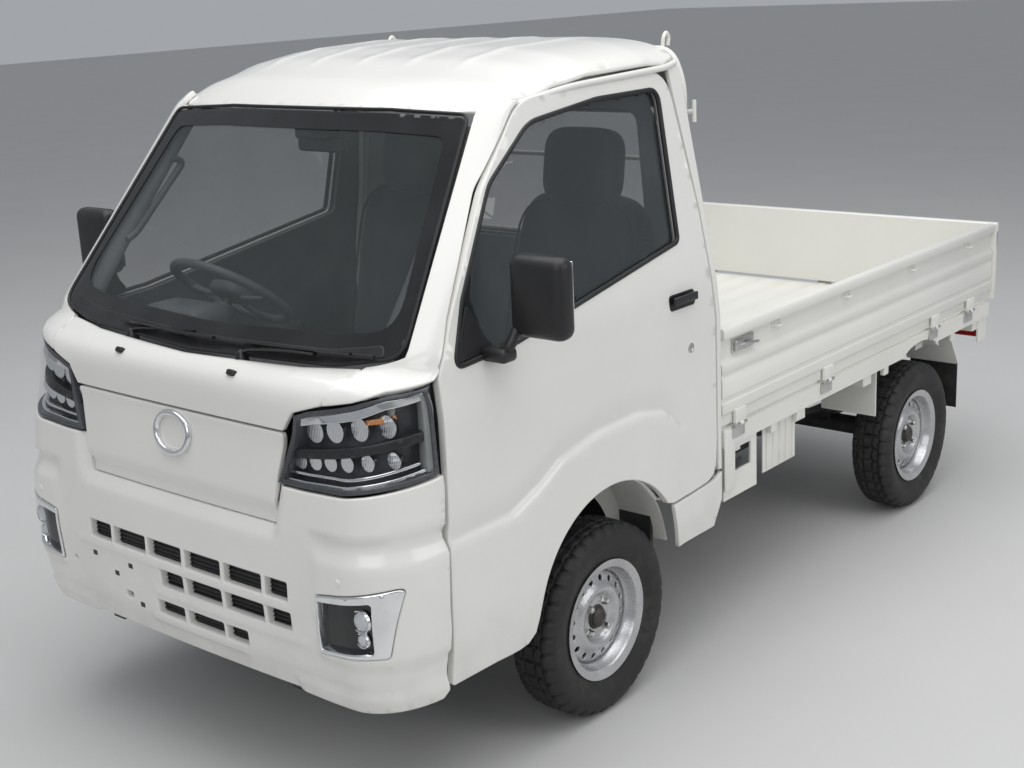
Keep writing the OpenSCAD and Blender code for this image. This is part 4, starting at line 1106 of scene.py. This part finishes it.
# %% [markdown]
# ## Wheels
# The tyre is a turned section whose crown is pushed in where grooves run, so the tread is real relief. The steel
# wheel is a turned rim with a pressed disc: the disc is a flat outline with holes laid on a dome, like the panels.
# %% Tyres and wheels
def tyre_piece(name, centre, sign, body):
    outline = [(-48, 150), (-53, 160), (-54, 172), (-60, 186), (-68, 202), (-71, 214), (-72, 226), (-70.5, 238),
               (-67, 248), (-62, 256), (-57, 261)]
    crown = [(x, 268.2 - 3.0 * (abs(x) / 52) ** 3) for x in np.linspace(-52, 52, 27)]
    profile = outline + crown + [(-x, r) for x, r in outline[::-1]]
    count = 288
    verts, faces = [], []
    for i, (x, r) in enumerate(profile):
        for k in range(count):
            t = 2 * math.pi * k / count
            rr, phase = r, (k % 8) / 8
            if r > 255:
                a = abs(x)
                zigzag = 2.5 * math.sin(2 * math.pi * phase)
                if 14 < a + zigzag * 0.7 < 20 or 36 < a + zigzag * 0.4 < 41:
                    rr -= 8
                elif (a > 41 and k % 8 in (0, 1)) or (20 < a < 36 and (k + 3) % 8 == 0) or (a < 14 and k % 8 == 5):
                    rr -= 6.5
            elif 244 < r <= 262 and k % 8 in (0, 1):
                rr -= 3.0
            verts.append((centre[0] + sign * x, centre[1] + rr * math.cos(t), centre[2] + rr * math.sin(t)))
    n = len(profile)
    for i in range(n - 1):
        for k in range(count):
            j = (k + 1) % count
            quad = (i * count + k, (i + 1) * count + k, (i + 1) * count + j, i * count + j)
            faces.append(quad if sign < 0 else quad[::-1])
    piece = shell(name, verts, faces, tyre_rubber, body)
    for k, (x, r) in enumerate(((64, 196), (67.5, 228))):
        line = [np.array(centre) + (sign * (x - 1.2), r * math.cos(t), r * math.sin(t)) for t in full_turn(96)]
        tube(f"{name}_line_{k}", line, 1.8, tyre_rubber, body, 6, True)
    return piece


def dome(sign, centre):
    keys = smooth_table([(0, 22), (44, 22), (60, 21), (72, 38), (88, 38), (98, 27), (126, 20), (133, 8), (140, 6)], 5)

    def place(u, v):
        u, v = np.broadcast_arrays(np.asarray(u, float), np.asarray(v, float))
        return np.stack([centre[0] + sign * keys(np.hypot(u, v)), centre[1] + sign * u, centre[2] + v], 1)
    return place


def circle(x, y, r, n=20):
    return np.array([(x + r * math.cos(t), y + r * math.sin(t)) for t in full_turn(n)])


print("tyre, dome and circle makers ready")

# %% The four wheels
DISC_HOLES, NUTS = 16, 4
RIM_PROFILE = [(-57, 160), (-57, 168), (-52, 167), (-49, 146), (-20, 142), (-12, 133), (18, 133), (28, 143), (50, 146),
               (53, 160), (56, 167), (59, 167.5), (58, 161), (53, 145), (46, 141), (31, 139), (22, 131), (4, 130),
               (-14, 129), (-52, 142), (-57, 160)]
HUB_PROFILE = [(0, 33), (24, 33), (27, 31), (27, 27), (34, 26), (38, 22), (39, 14), (36, 12), (36, 0.01)]
NUT_PROFILE = [(0, 13), (4, 12), (6, 10), (18, 9.5), (21, 6), (22, 0.01)]


def wheel(tag, centre, sign, body):
    tyre = tyre_piece("tyre_" + tag, centre, sign, body)
    piece = turned_form("rim_" + tag, centre, "x", RIM_PROFILE[::-1], wheel_silver, body, 96, sign)
    holes = [circle(110 * math.cos(t), 110 * math.sin(t), 8.5, 16) for t in full_turn(DISC_HOLES, 0.2)]
    nuts = [(50 * math.cos(t), 50 * math.sin(t)) for t in full_turn(NUTS, math.pi / 4)]
    panel("disc_" + tag, dome(sign, centre), circle(0, 0, 136, 96), wheel_silver, 9, 2, 8,
          holes + [circle(0, 0, 33, 32)], body=body, edge=5)
    turned_form("hub_" + tag, centre, "x", HUB_PROFILE, hub_steel, body, 36, sign)
    for k, (u, v) in enumerate(nuts):
        turned_form(f"nut_{tag}_{k}", (centre[0] + sign * 20, centre[1] + u, centre[2] + v), "x",
                    NUT_PROFILE, plated, body, 6, sign)
    a = math.radians(100)
    tube("valve_" + tag, [(centre[0] + sign * 26, centre[1] + r * math.cos(a), centre[2] + r * math.sin(a))
                          for r in (132, 124)], 4, seal_rubber, body, 8)
    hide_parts("tyre_" + tag)
    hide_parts("rim_" + tag)


for sign, tag in SIDES:
    for end, y in (("front", FRONT_AXLE_Y), ("rear", REAR_AXLE_Y)):
        wheel(f"{end}_{tag}", (sign * 652.5, y, 268.5), sign, f"wheel_{end}_{tag}")

# %% [markdown]
# ## Gates
# A drop-side gate is one roll-formed section: a top rail, a recessed band for the rope hooks, a raised lower skin
# with two ridges and a turned-in foot. The section runs the whole length, and its ends are capped.
# %% Side gates
HINGE_PLACES = (-188, 351, 1158, 1466)
KNUCKLE = [(0, 3), (0, 5.6), (0.8, 6.3), (18.2, 6.3), (19, 5.6), (19, 3)]
KNUCKLE_STARTS = (-29.5, 10.5)


def gate_outline(top_w, face):
    return [(0, 9), (12, 9), (13, 20), (14, 38), (face - 1, 46), (face, 50), (face, 76), (face - 4, 80), (face - 4, 92),
            (face, 96), (face, 150), (face - 3, 154), (face - 3, 164), (face, 168), (face, 190), (face - 2, 196),
            (12, 205), (11, 210), (11, 262), (13, 267), (top_w - 2, 270), (top_w, 274), (top_w, 296), (top_w - 4, 302),
            (4, 302), (0, 298)]


def side_gate(name, body):
    place = lambda u, v, w: (705 + u, w, 652 + v)
    made = [section(name + "_skin", gate_outline(31, 23), -283, 1659.5, place, bed_paint, body, 2.0, 1)]
    for k, y in enumerate((38, 487, 969, 1445)):
        path = bent([(716, y - 20, 900), (728, y - 14, 900), (733, y - 8, 900), (733, y + 8, 900), (728, y + 14, 900),
                     (716, y + 20, 900)], 6)
        made.append(tube(f"{name}_hook_{k}", path, 4, bed_paint, body, 8))
        made.append(rounded_block(f"{name}_hook_plate_{k}", (714, y - 26, 884), (719, y + 26, 912), 2, bed_paint, body))
    for k, y in enumerate(HINGE_PLACES):
        made.append(rounded_block(f"{name}_leaf_{k}", (722, y - 30, 656), (733.5, y + 30, 700), 3, bed_paint, body))
        for j, d in enumerate(KNUCKLE_STARTS):
            made.append(turned_form(f"{name}_knuckle_{k}_{j}", (731, y + d, 652), "y", KNUCKLE, plated, body, 20))
    y = -158
    made += [rounded_block(name + "_latch_plate", (716, y - 60, 868), (722, y + 60, 908), 2, plated, body),
             rounded_block(name + "_latch_box", (720, y - 52, 872), (731, y - 8, 904), 4, plated, body),
             tube(name + "_latch_lever", bent([(727, y - 30, 888), (734, y - 5, 889), (735, y + 40, 884),
                                              (733, y + 66, 880)], 12), 5, plated, body, 10)]
    return made


gate_left, gate_right = both_sides(side_gate, "gate", "gate_left", "gate_right")
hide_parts("gate_left")
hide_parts("gate_right")
print("side gate pieces", len(gate_left))

# %% Tailgate
tail = section("tailgate_skin", gate_outline(29, 23), -736, 736, lambda u, v, w: (w, 1665 + u, 652 + v), bed_paint,
               "tailgate", 2.0, 1)
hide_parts("tailgate")
for k, x in enumerate((-560, 0, 560)):
    rounded_block(f"tailgate_leaf_{k}", (x - 30, 1680, 656), (x + 30, 1693, 700), 3, bed_paint, "tailgate")
    for j, d in enumerate(KNUCKLE_STARTS):
        turned_form(f"tailgate_knuckle_{k}_{j}", (x + d, 1691, 652), "x", KNUCKLE, plated, "tailgate", 20)
for s, tag in SIDES:
    rounded_block(f"tailgate_latch_{tag}", (s * 690, 1688, 870), (s * 732, 1697, 915), 3, plated, "tailgate")
    tube(f"tailgate_lever_{tag}", bent([(s * 705, 1692, 892), (s * 690, 1696, 892), (s * 655, 1696, 884)], 8), 4.5,
         plated, "tailgate", 8)
print("tailgate", tail.name)

# %% [markdown]
# ## Bed and guard frame
# The load floor is a ribbed sheet, so it is the flat-panel maker again with shallow relief. The guard frame is a
# square tube bent over the cab, swept along its own path with a superellipse for its section.
# %% Load floor and headboard
BED_RIBS = np.arange(-600, 601, 120.0)


def bed_surface(x, y):
    x, y = np.broadcast_arrays(np.asarray(x, float), np.asarray(y, float))
    ribs = sum(1 - step01(np.abs(x - c), 22, 34) for c in BED_RIBS)
    return np.stack([x, y, 650.5 + 2.5 * ribs * step01(y, -220, -190) * (1 - step01(y, 1590, 1620))], 1)


rib_lines = np.array([(c + d, y) for c in BED_RIBS for d in (-33, -22, 22, 33)
                      for y in np.arange(-215, 1630, 50.0)])
panel("bed_sheet", bed_surface, rounded([(-702, -262, 4), (702, -262, 4), (702, 1661, 4), (-702, 1661, 4)]), bed_paint,
      60, 2, 6, extra=rib_lines)
head = [(-22, 604), (0, 604), (0, 640), (-4, 646), (-4, 700), (0, 706), (0, 800), (-4, 806), (-4, 880), (0, 886),
        (0, 930), (4, 936), (4, 950), (0, 955), (-22, 955), (-24, 950), (-22, 930)]
headboard = section("headboard_skin", head, -698, 698, lambda u, v, w: (w, -265 + u, v), bed_paint)
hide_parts("headboard")
print("ribs in the load floor", len(BED_RIBS))

# %% Guard frame
frame_path = bent([(596, -276, 950), (596, -276, 1640), (560, -276, 1727), (-560, -276, 1727), (-596, -276, 1640),
                   (-596, -276, 950)], 60, 8)
tube("guard_frame", frame_path, 17, bed_paint, sides=20, flat=0.66, square=0.5, start_up=(1, 0, 0))
for k, z in enumerate((1187, 1427)):
    tube(f"guard_bar_{k}", [(-584, -276, z), (584, -276, z)], 8, bed_paint, sides=12)
for s, tag in SIDES:
    tube("guard_loop_" + tag, bent([(s * 534, -270, 1738), (s * 534, -266, 1766), (s * 534, -252, 1780),
                                    (s * 534, -238, 1766), (s * 534, -244, 1742)], 14), 5.5, bed_paint, sides=10)
    tube("guard_peg_" + tag, [(s * 600, -276, 1560), (s * 640, -276, 1566)], 6.5, bed_paint, sides=10)
    tube("guard_peg_bar_" + tag, [(s * 640, -276, 1536), (s * 640, -276, 1596)], 6, bed_paint, sides=10)
    rounded_block("corner_bracket_" + tag, (s * 722, -262, 455), (s * 716, -205, 640), 2, bed_paint)
    rounded_block("front_cap_" + tag, (s * 712, -205, 512), (s * 722, -165, 540), 4, black_plastic)
    for k, y in enumerate((15, 175, 780, 1330)):
        rounded_block(f"stay_{tag}_{k}", (s * 700, y, 560), (s * 716, y + 34, 646), 3, bed_paint)
    for k, y in enumerate(HINGE_PLACES):
        turned_form(f"hinge_middle_{tag}_{k}", (s * 731, y - 9, 652), "y", [(0, 3), (0, 5.8), (0.6, 6.4), (17.4, 6.4),
                                                                          (18, 5.8), (18, 3)], plated, sides=20)
        rounded_block(f"hinge_plate_{tag}_{k}", (s * 719, y - 34, 610), (s * 725, y + 34, 645), 2, plated)
    section("hanging_plate_" + tag, [(0, 432), (200, 432), (200, 590), (170, 604), (0, 604)], 0, 4,
            lambda u, v, w, s=s: (s * (690 + w), u, v), bed_paint, bevel=0.8)
    for k, y in enumerate((22, 62, 102, 142, 182)):
        tube(f"plate_rib_{tag}_{k}", [(s * 695, y, 440), (s * 695, y, 596)], 5, bed_paint, sides=8)
    section("mud_flap_" + tag, [(-95, 276), (95, 276), (95, 462), (-95, 462)], 0, 5,
            lambda u, v, w, s=s: (s * (605 + u * s), 1432 + w, v), flap_rubber, bevel=1)


def liner(name, y0, z0, r, x0, x1, angles, material):
    verts, faces, n = [], [], 30
    for t in np.linspace(*(math.radians(a) for a in angles), n):
        for x, rr in ((x0, r - 60), (x0, r), (x1, r), (x1, r + 5), (x0, r + 5)):
            verts.append((x, y0 + rr * math.cos(t), z0 + rr * math.sin(t)))
    faces = [(i * 5 + k, i * 5 + k + 1, (i + 1) * 5 + k + 1, (i + 1) * 5 + k) for i in range(n - 1) for k in range(4)]
    return shell(name, verts, faces, material)


arch = liner("front_arch_left", FRONT_AXLE_Y, ARCH_Z, 322, 540, 688, (8, 165), bed_paint)
mirrored(arch, "front_arch_right", "chassis")

# %% [markdown]
# ## Tail lamps
# Each tail lamp is a red block with two windows let into it. A moulded lens could be modelled rib by rib, but the
# ribs are so fine that the material carries them.
# %% Tail lamps
for s, tag in SIDES:
    lamp = rounded_block("tail_lamp_" + tag, (s * 472, 1612, 514), (s * 704, 1662, 586), 7, red_lens)
    for k, (a, b, mat) in enumerate(((500, 560, lamp_clear), (565, 620, amber))):
        rounded_block(f"tail_window_{tag}_{k}", (s * a, 1658, 522), (s * b, 1666, 578), 3, mat)
    if s > 0:
        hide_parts("tail_lamps")
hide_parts("mud_flaps")
print("tail lamps", 2)

# %% [markdown]
# ## Seats
# A foam seat is a full, soft-edged form. A superellipsoid gives the swell of a stretched cover and stays closed;
# piping along its widest line is where two covers meet.
# %% Seats
def swollen(name, centre, half, lean, material, body="chassis", power=0.42, n=48, m=28, wave=0.0):
    verts, faces = [], []
    for i in range(m + 1):
        b = -math.pi / 2 + math.pi * i / m
        for k in range(n):
            a = 2 * math.pi * k / n
            u = signed_power(math.cos(b), power) * signed_power(math.cos(a), power)
            v = signed_power(math.cos(b), power) * signed_power(math.sin(a), power)
            w = signed_power(math.sin(b), power)
            pinch = 1 - wave * math.exp(-((abs(u) - 0.62) / 0.07) ** 2)
            p = Vector((half[0] * u, half[1] * v * pinch, half[2] * w))
            p.rotate(Matrix.Rotation(math.radians(lean), 3, "X"))
            verts.append((centre[0] + p.x, centre[1] + p.y, centre[2] + p.z))
    for i in range(m):
        for k in range(n):
            j = (k + 1) % n
            faces.append((i * n + k, i * n + j, (i + 1) * n + j, (i + 1) * n + k))
    return shell(name, verts, faces, material, body)


def outline_at(centre, half, lean, offset, power=0.42, n=64):
    points = []
    for k in range(n):
        a = 2 * math.pi * k / n
        p = Vector((half[0] * signed_power(math.cos(a), power), offset, half[2] * signed_power(math.sin(a), power)))
        p.rotate(Matrix.Rotation(math.radians(lean), 3, "X"))
        points.append(np.array(centre) + tuple(p))
    return points


for s, tag in SIDES:
    x = s * 330
    cushion = swollen("seat_cushion_" + tag, (x, -745, 735), (232, 258, 66), -4, seat_cloth)
    backrest = swollen("seat_back_" + tag, (x, -432, 1030), (222, 54, 312), -13, seat_cloth, wave=0.12)
    headrest = swollen("seat_head_" + tag, (x, -383, 1412), (132, 42, 112), -9, seat_cloth, power=0.5)
    tube("seat_piping_" + tag, outline_at((x, -470, 1024), (212, 52, 300), -13, -18), 3.5, seal_rubber, sides=8,
         closed=True)
    tube("seat_rail_" + tag, [(x - 150, -960, 682), (x - 150, -560, 682)], 10, chassis_black, sides=8)
    tube("seat_rail_in_" + tag, [(x + 150, -960, 682), (x + 150, -560, 682)], 10, chassis_black, sides=8)
    if s > 0:
        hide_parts("seats")
print("seats filled with foam", 2)

# %% [markdown]
# ## Dashboard, steering wheel and lining
# The dashboard is one section swept across the cab, with vents, a hood and a radio set on it. The steering wheel is
# drawn on three axes of its own, tilted like the column, so that it turns about its joint. Linings could be new
# shapes, but the outer skins moved inwards close the cab just as well.
# %% Dashboard
dash = rounded([(-1555, 1020, 14), (-1500, 1070, 40), (-1380, 1090, 70), (-1272, 1044, 50), (-1264, 940, 30),
                (-1330, 806, 40), (-1545, 806, 10)])
dash_piece = section("dash_body", dash, -598, 598, lambda u, v, w: (w, u, v), cabin_plastic, bevel=6, steps=6)
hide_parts("dashboard")
for k, (x, z) in enumerate(((-560, 1000), (-130, 1000), (130, 1000), (560, 1000))):
    rounded_block(f"vent_{k}", (x - 42, -1282, z - 28), (x + 42, -1258, z + 28), 8, trim_plastic)
    for j in range(4):
        rounded_block(f"vent_{k}_slat_{j}", (x - 36, -1264, z - 20 + j * 12), (x + 36, -1254, z - 17 + j * 12), 1,
                      cabin_grey)
rounded_block("meter_hood", (-450, -1400, 1060), (-215, -1262, 1128), 26, cabin_plastic)
rounded_block("radio", (-88, -1276, 880), (88, -1256, 960), 6, frit_black)
turned_form("speaker_vent", (0, -1440, 1082), "z", [(0, 46), (5, 44), (6, 36), (4, 34), (4, 0.01)], trim_plastic)
print("dashboard", dash_piece.name)

# %% Steering wheel
HUB, TILT = np.array((-330.0, -1170.0, 1130.0)), math.radians(38)
U = np.array((1.0, 0, 0))
V = np.array((0, math.cos(TILT), -math.sin(TILT)))
W = np.array((0, math.sin(TILT), math.cos(TILT)))


def on_wheel(u, v, w=0.0):
    return HUB + U * u + V * v + W * w


rim = tube("steering_rim", [on_wheel(172 * math.cos(t), 172 * math.sin(t)) for t in full_turn(96)], 13, cabin_plastic,
           "steering_wheel", 14, True)
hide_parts("steering_wheel")
for k, t in enumerate((0, 90, 180)):
    c, d = math.cos(math.radians(t)), math.sin(math.radians(t))
    spoke = [on_wheel(r * c, r * d, w) for r, w in ((30, -10), (90, -12), (140, -6), (168, 0))]
    tube(f"steering_spoke_{k}", bent(spoke, 20), 15, cabin_plastic, "steering_wheel", 12, flat=0.5)
swollen("steering_pad", HUB - W * 2, (62, 50, 22), -38, cabin_plastic, "steering_wheel", 0.6)
tube("steering_column", [HUB - W * 330, HUB - W * 44], 34, cabin_plastic, sides=24)
tube("column_neck", [HUB - W * 50, HUB - W * 10], 15, hub_steel, sides=16)
print("steering wheel tilted by", round(math.degrees(TILT)), "degrees")

# %% Lining, mirror and grab handle
panel("roof_lining", lambda x, y: roof_skin(x, y) - (0, 0, 36.0), offset_loop(roof_loop, -58), cabin_grey, 60, 2, 6,
      flip=True)
back_liner = rounded([(-640, 672, 20), (640, 672, 20), (650, 1112, 40), (560, 1660, 40), (-560, 1660, 40),
                      (-650, 1112, 40)])
panel("back_lining", lambda x, z: flat_back(x, z) - (0, 30.0, 0), back_liner, cabin_grey, 80, 3, 24,
      [offset_loop(rear_hole, 8)])
rounded_block("sensor_box", (-62, -1128, 1560), (62, -1060, 1618), 12, trim_plastic)
rounded_block("inside_mirror", (-118, -1068, 1520), (58, -1046, 1578), 10, trim_plastic)
tube("mirror_stalk", bent([(-10, -1090, 1618), (-14, -1075, 1590), (-20, -1060, 1560)], 12), 6, trim_plastic, sides=8)
for s, tag in SIDES:
    ends = nose(q_at([s * 590, s * 560], [1290, 1500]), [1290, 1500]) + np.array((-s * 40, 62, 0))
    grip = [ends[0] + (0, -20, 0), ends[0] + (0, 14, 16), ends[1] + (0, 14, -16), ends[1] + (0, -20, 0)]
    tube("grab_handle_" + tag, bent(grip, 26), 10, cabin_plastic, sides=10)
    lower = nose(q_at([s * 600, s * 596, s * 560], [1150, 1300, 1600]), [1150, 1300, 1600]) + np.array((-s * 22, 40, 0))
    tube("pillar_lining_" + tag, bent(lower, 60), 26, cabin_plastic, sides=12, flat=0.6)

# %% [markdown]
# ## Finishes for the running gear
# Parts under the floor keep the frame's own shapes, which are true to size. New meshes could be laid over them, but
# nobody would see the difference, so they only get their finish.
# %% Finishes on the frame's own nodes
FINISH = {"cab_floor": floor_black, "engine": casting, "muffler": exhaust, "bed_floor": bed_paint}
FINISH.update({node: chassis_black for node in ("propeller_shaft", "rear_axle", "leaf_springs", "chassis_frame",
                                                "front_arms", "knuckle_left", "knuckle_right", "fuel_tank")})
for node, material in FINISH.items():
    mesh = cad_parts[node].data
    mesh.materials.clear()
    mesh.materials.append(material)
print("finished", len(FINISH), "nodes")

# %% [markdown]
# ## Floor and light
# A pale floor, a pale sky and three big soft lamps give an even, bright look with gentle shadows. A picture of a
# studio as the sky would be richer, but three lamps can be named and changed one at a time.
# %% Floor
FLOOR_TONES = (0.56, 0.555, 0.545), (0.61, 0.605, 0.595)
floor_shader = Shader("studio_floor")
floor_shader.set(Base_Color=floor_shader.blend(floor_shader.noise(1.5, 5.0), *FLOOR_TONES), Roughness=0.75)
floor_mesh = bpy.data.meshes.new("studio_floor")
floor_mesh.from_pydata([(-40, -40, 0), (40, -40, 0), (40, 60, 0), (-40, 60, 0)], [], [(0, 1, 2, 3)])
floor_mesh.materials.append(floor_shader.material)
floor = bpy.data.objects.new("studio_floor", floor_mesh)
bpy.context.scene.collection.objects.link(floor)
print("floor", [round(v, 1) for v in floor.dimensions])

# %% Sky and lamps
SKY_COLOUR, SKY_STRENGTH = (0.86, 0.90, 0.96, 1), 0.42
world = bpy.data.worlds.new("sky")
bpy.context.scene.world = world
world.use_nodes = True
background = world.node_tree.nodes["Background"]
background.inputs[0].default_value, background.inputs[1].default_value = SKY_COLOUR, SKY_STRENGTH


def soft_lamp(name, place, target, size, power):
    lamp = bpy.data.lights.new(name, "AREA")
    lamp.shape, lamp.size, lamp.size_y, lamp.energy = "RECTANGLE", size[0], size[1], power
    made = bpy.data.objects.new(name, lamp)
    bpy.context.scene.collection.objects.link(made)
    made.location = place
    made.rotation_euler = (Vector(target) - Vector(place)).to_track_quat("-Z", "Y").to_euler()
    return made


lamps = [soft_lamp("overhead", (0.5, -0.5, 5.5), (0, 0, 0), (7, 7), 290),
         soft_lamp("front_side", (3.0, -6.0, 4.0), (0, -0.8, 0.8), (4, 3), 62),
         soft_lamp("left_side", (7.0, 1.0, 3.5), (0, 0.2, 0.7), (5, 3), 80)]
bpy.context.scene.view_settings.view_transform = "Standard"
print("lamps", [lamp.name for lamp in lamps])
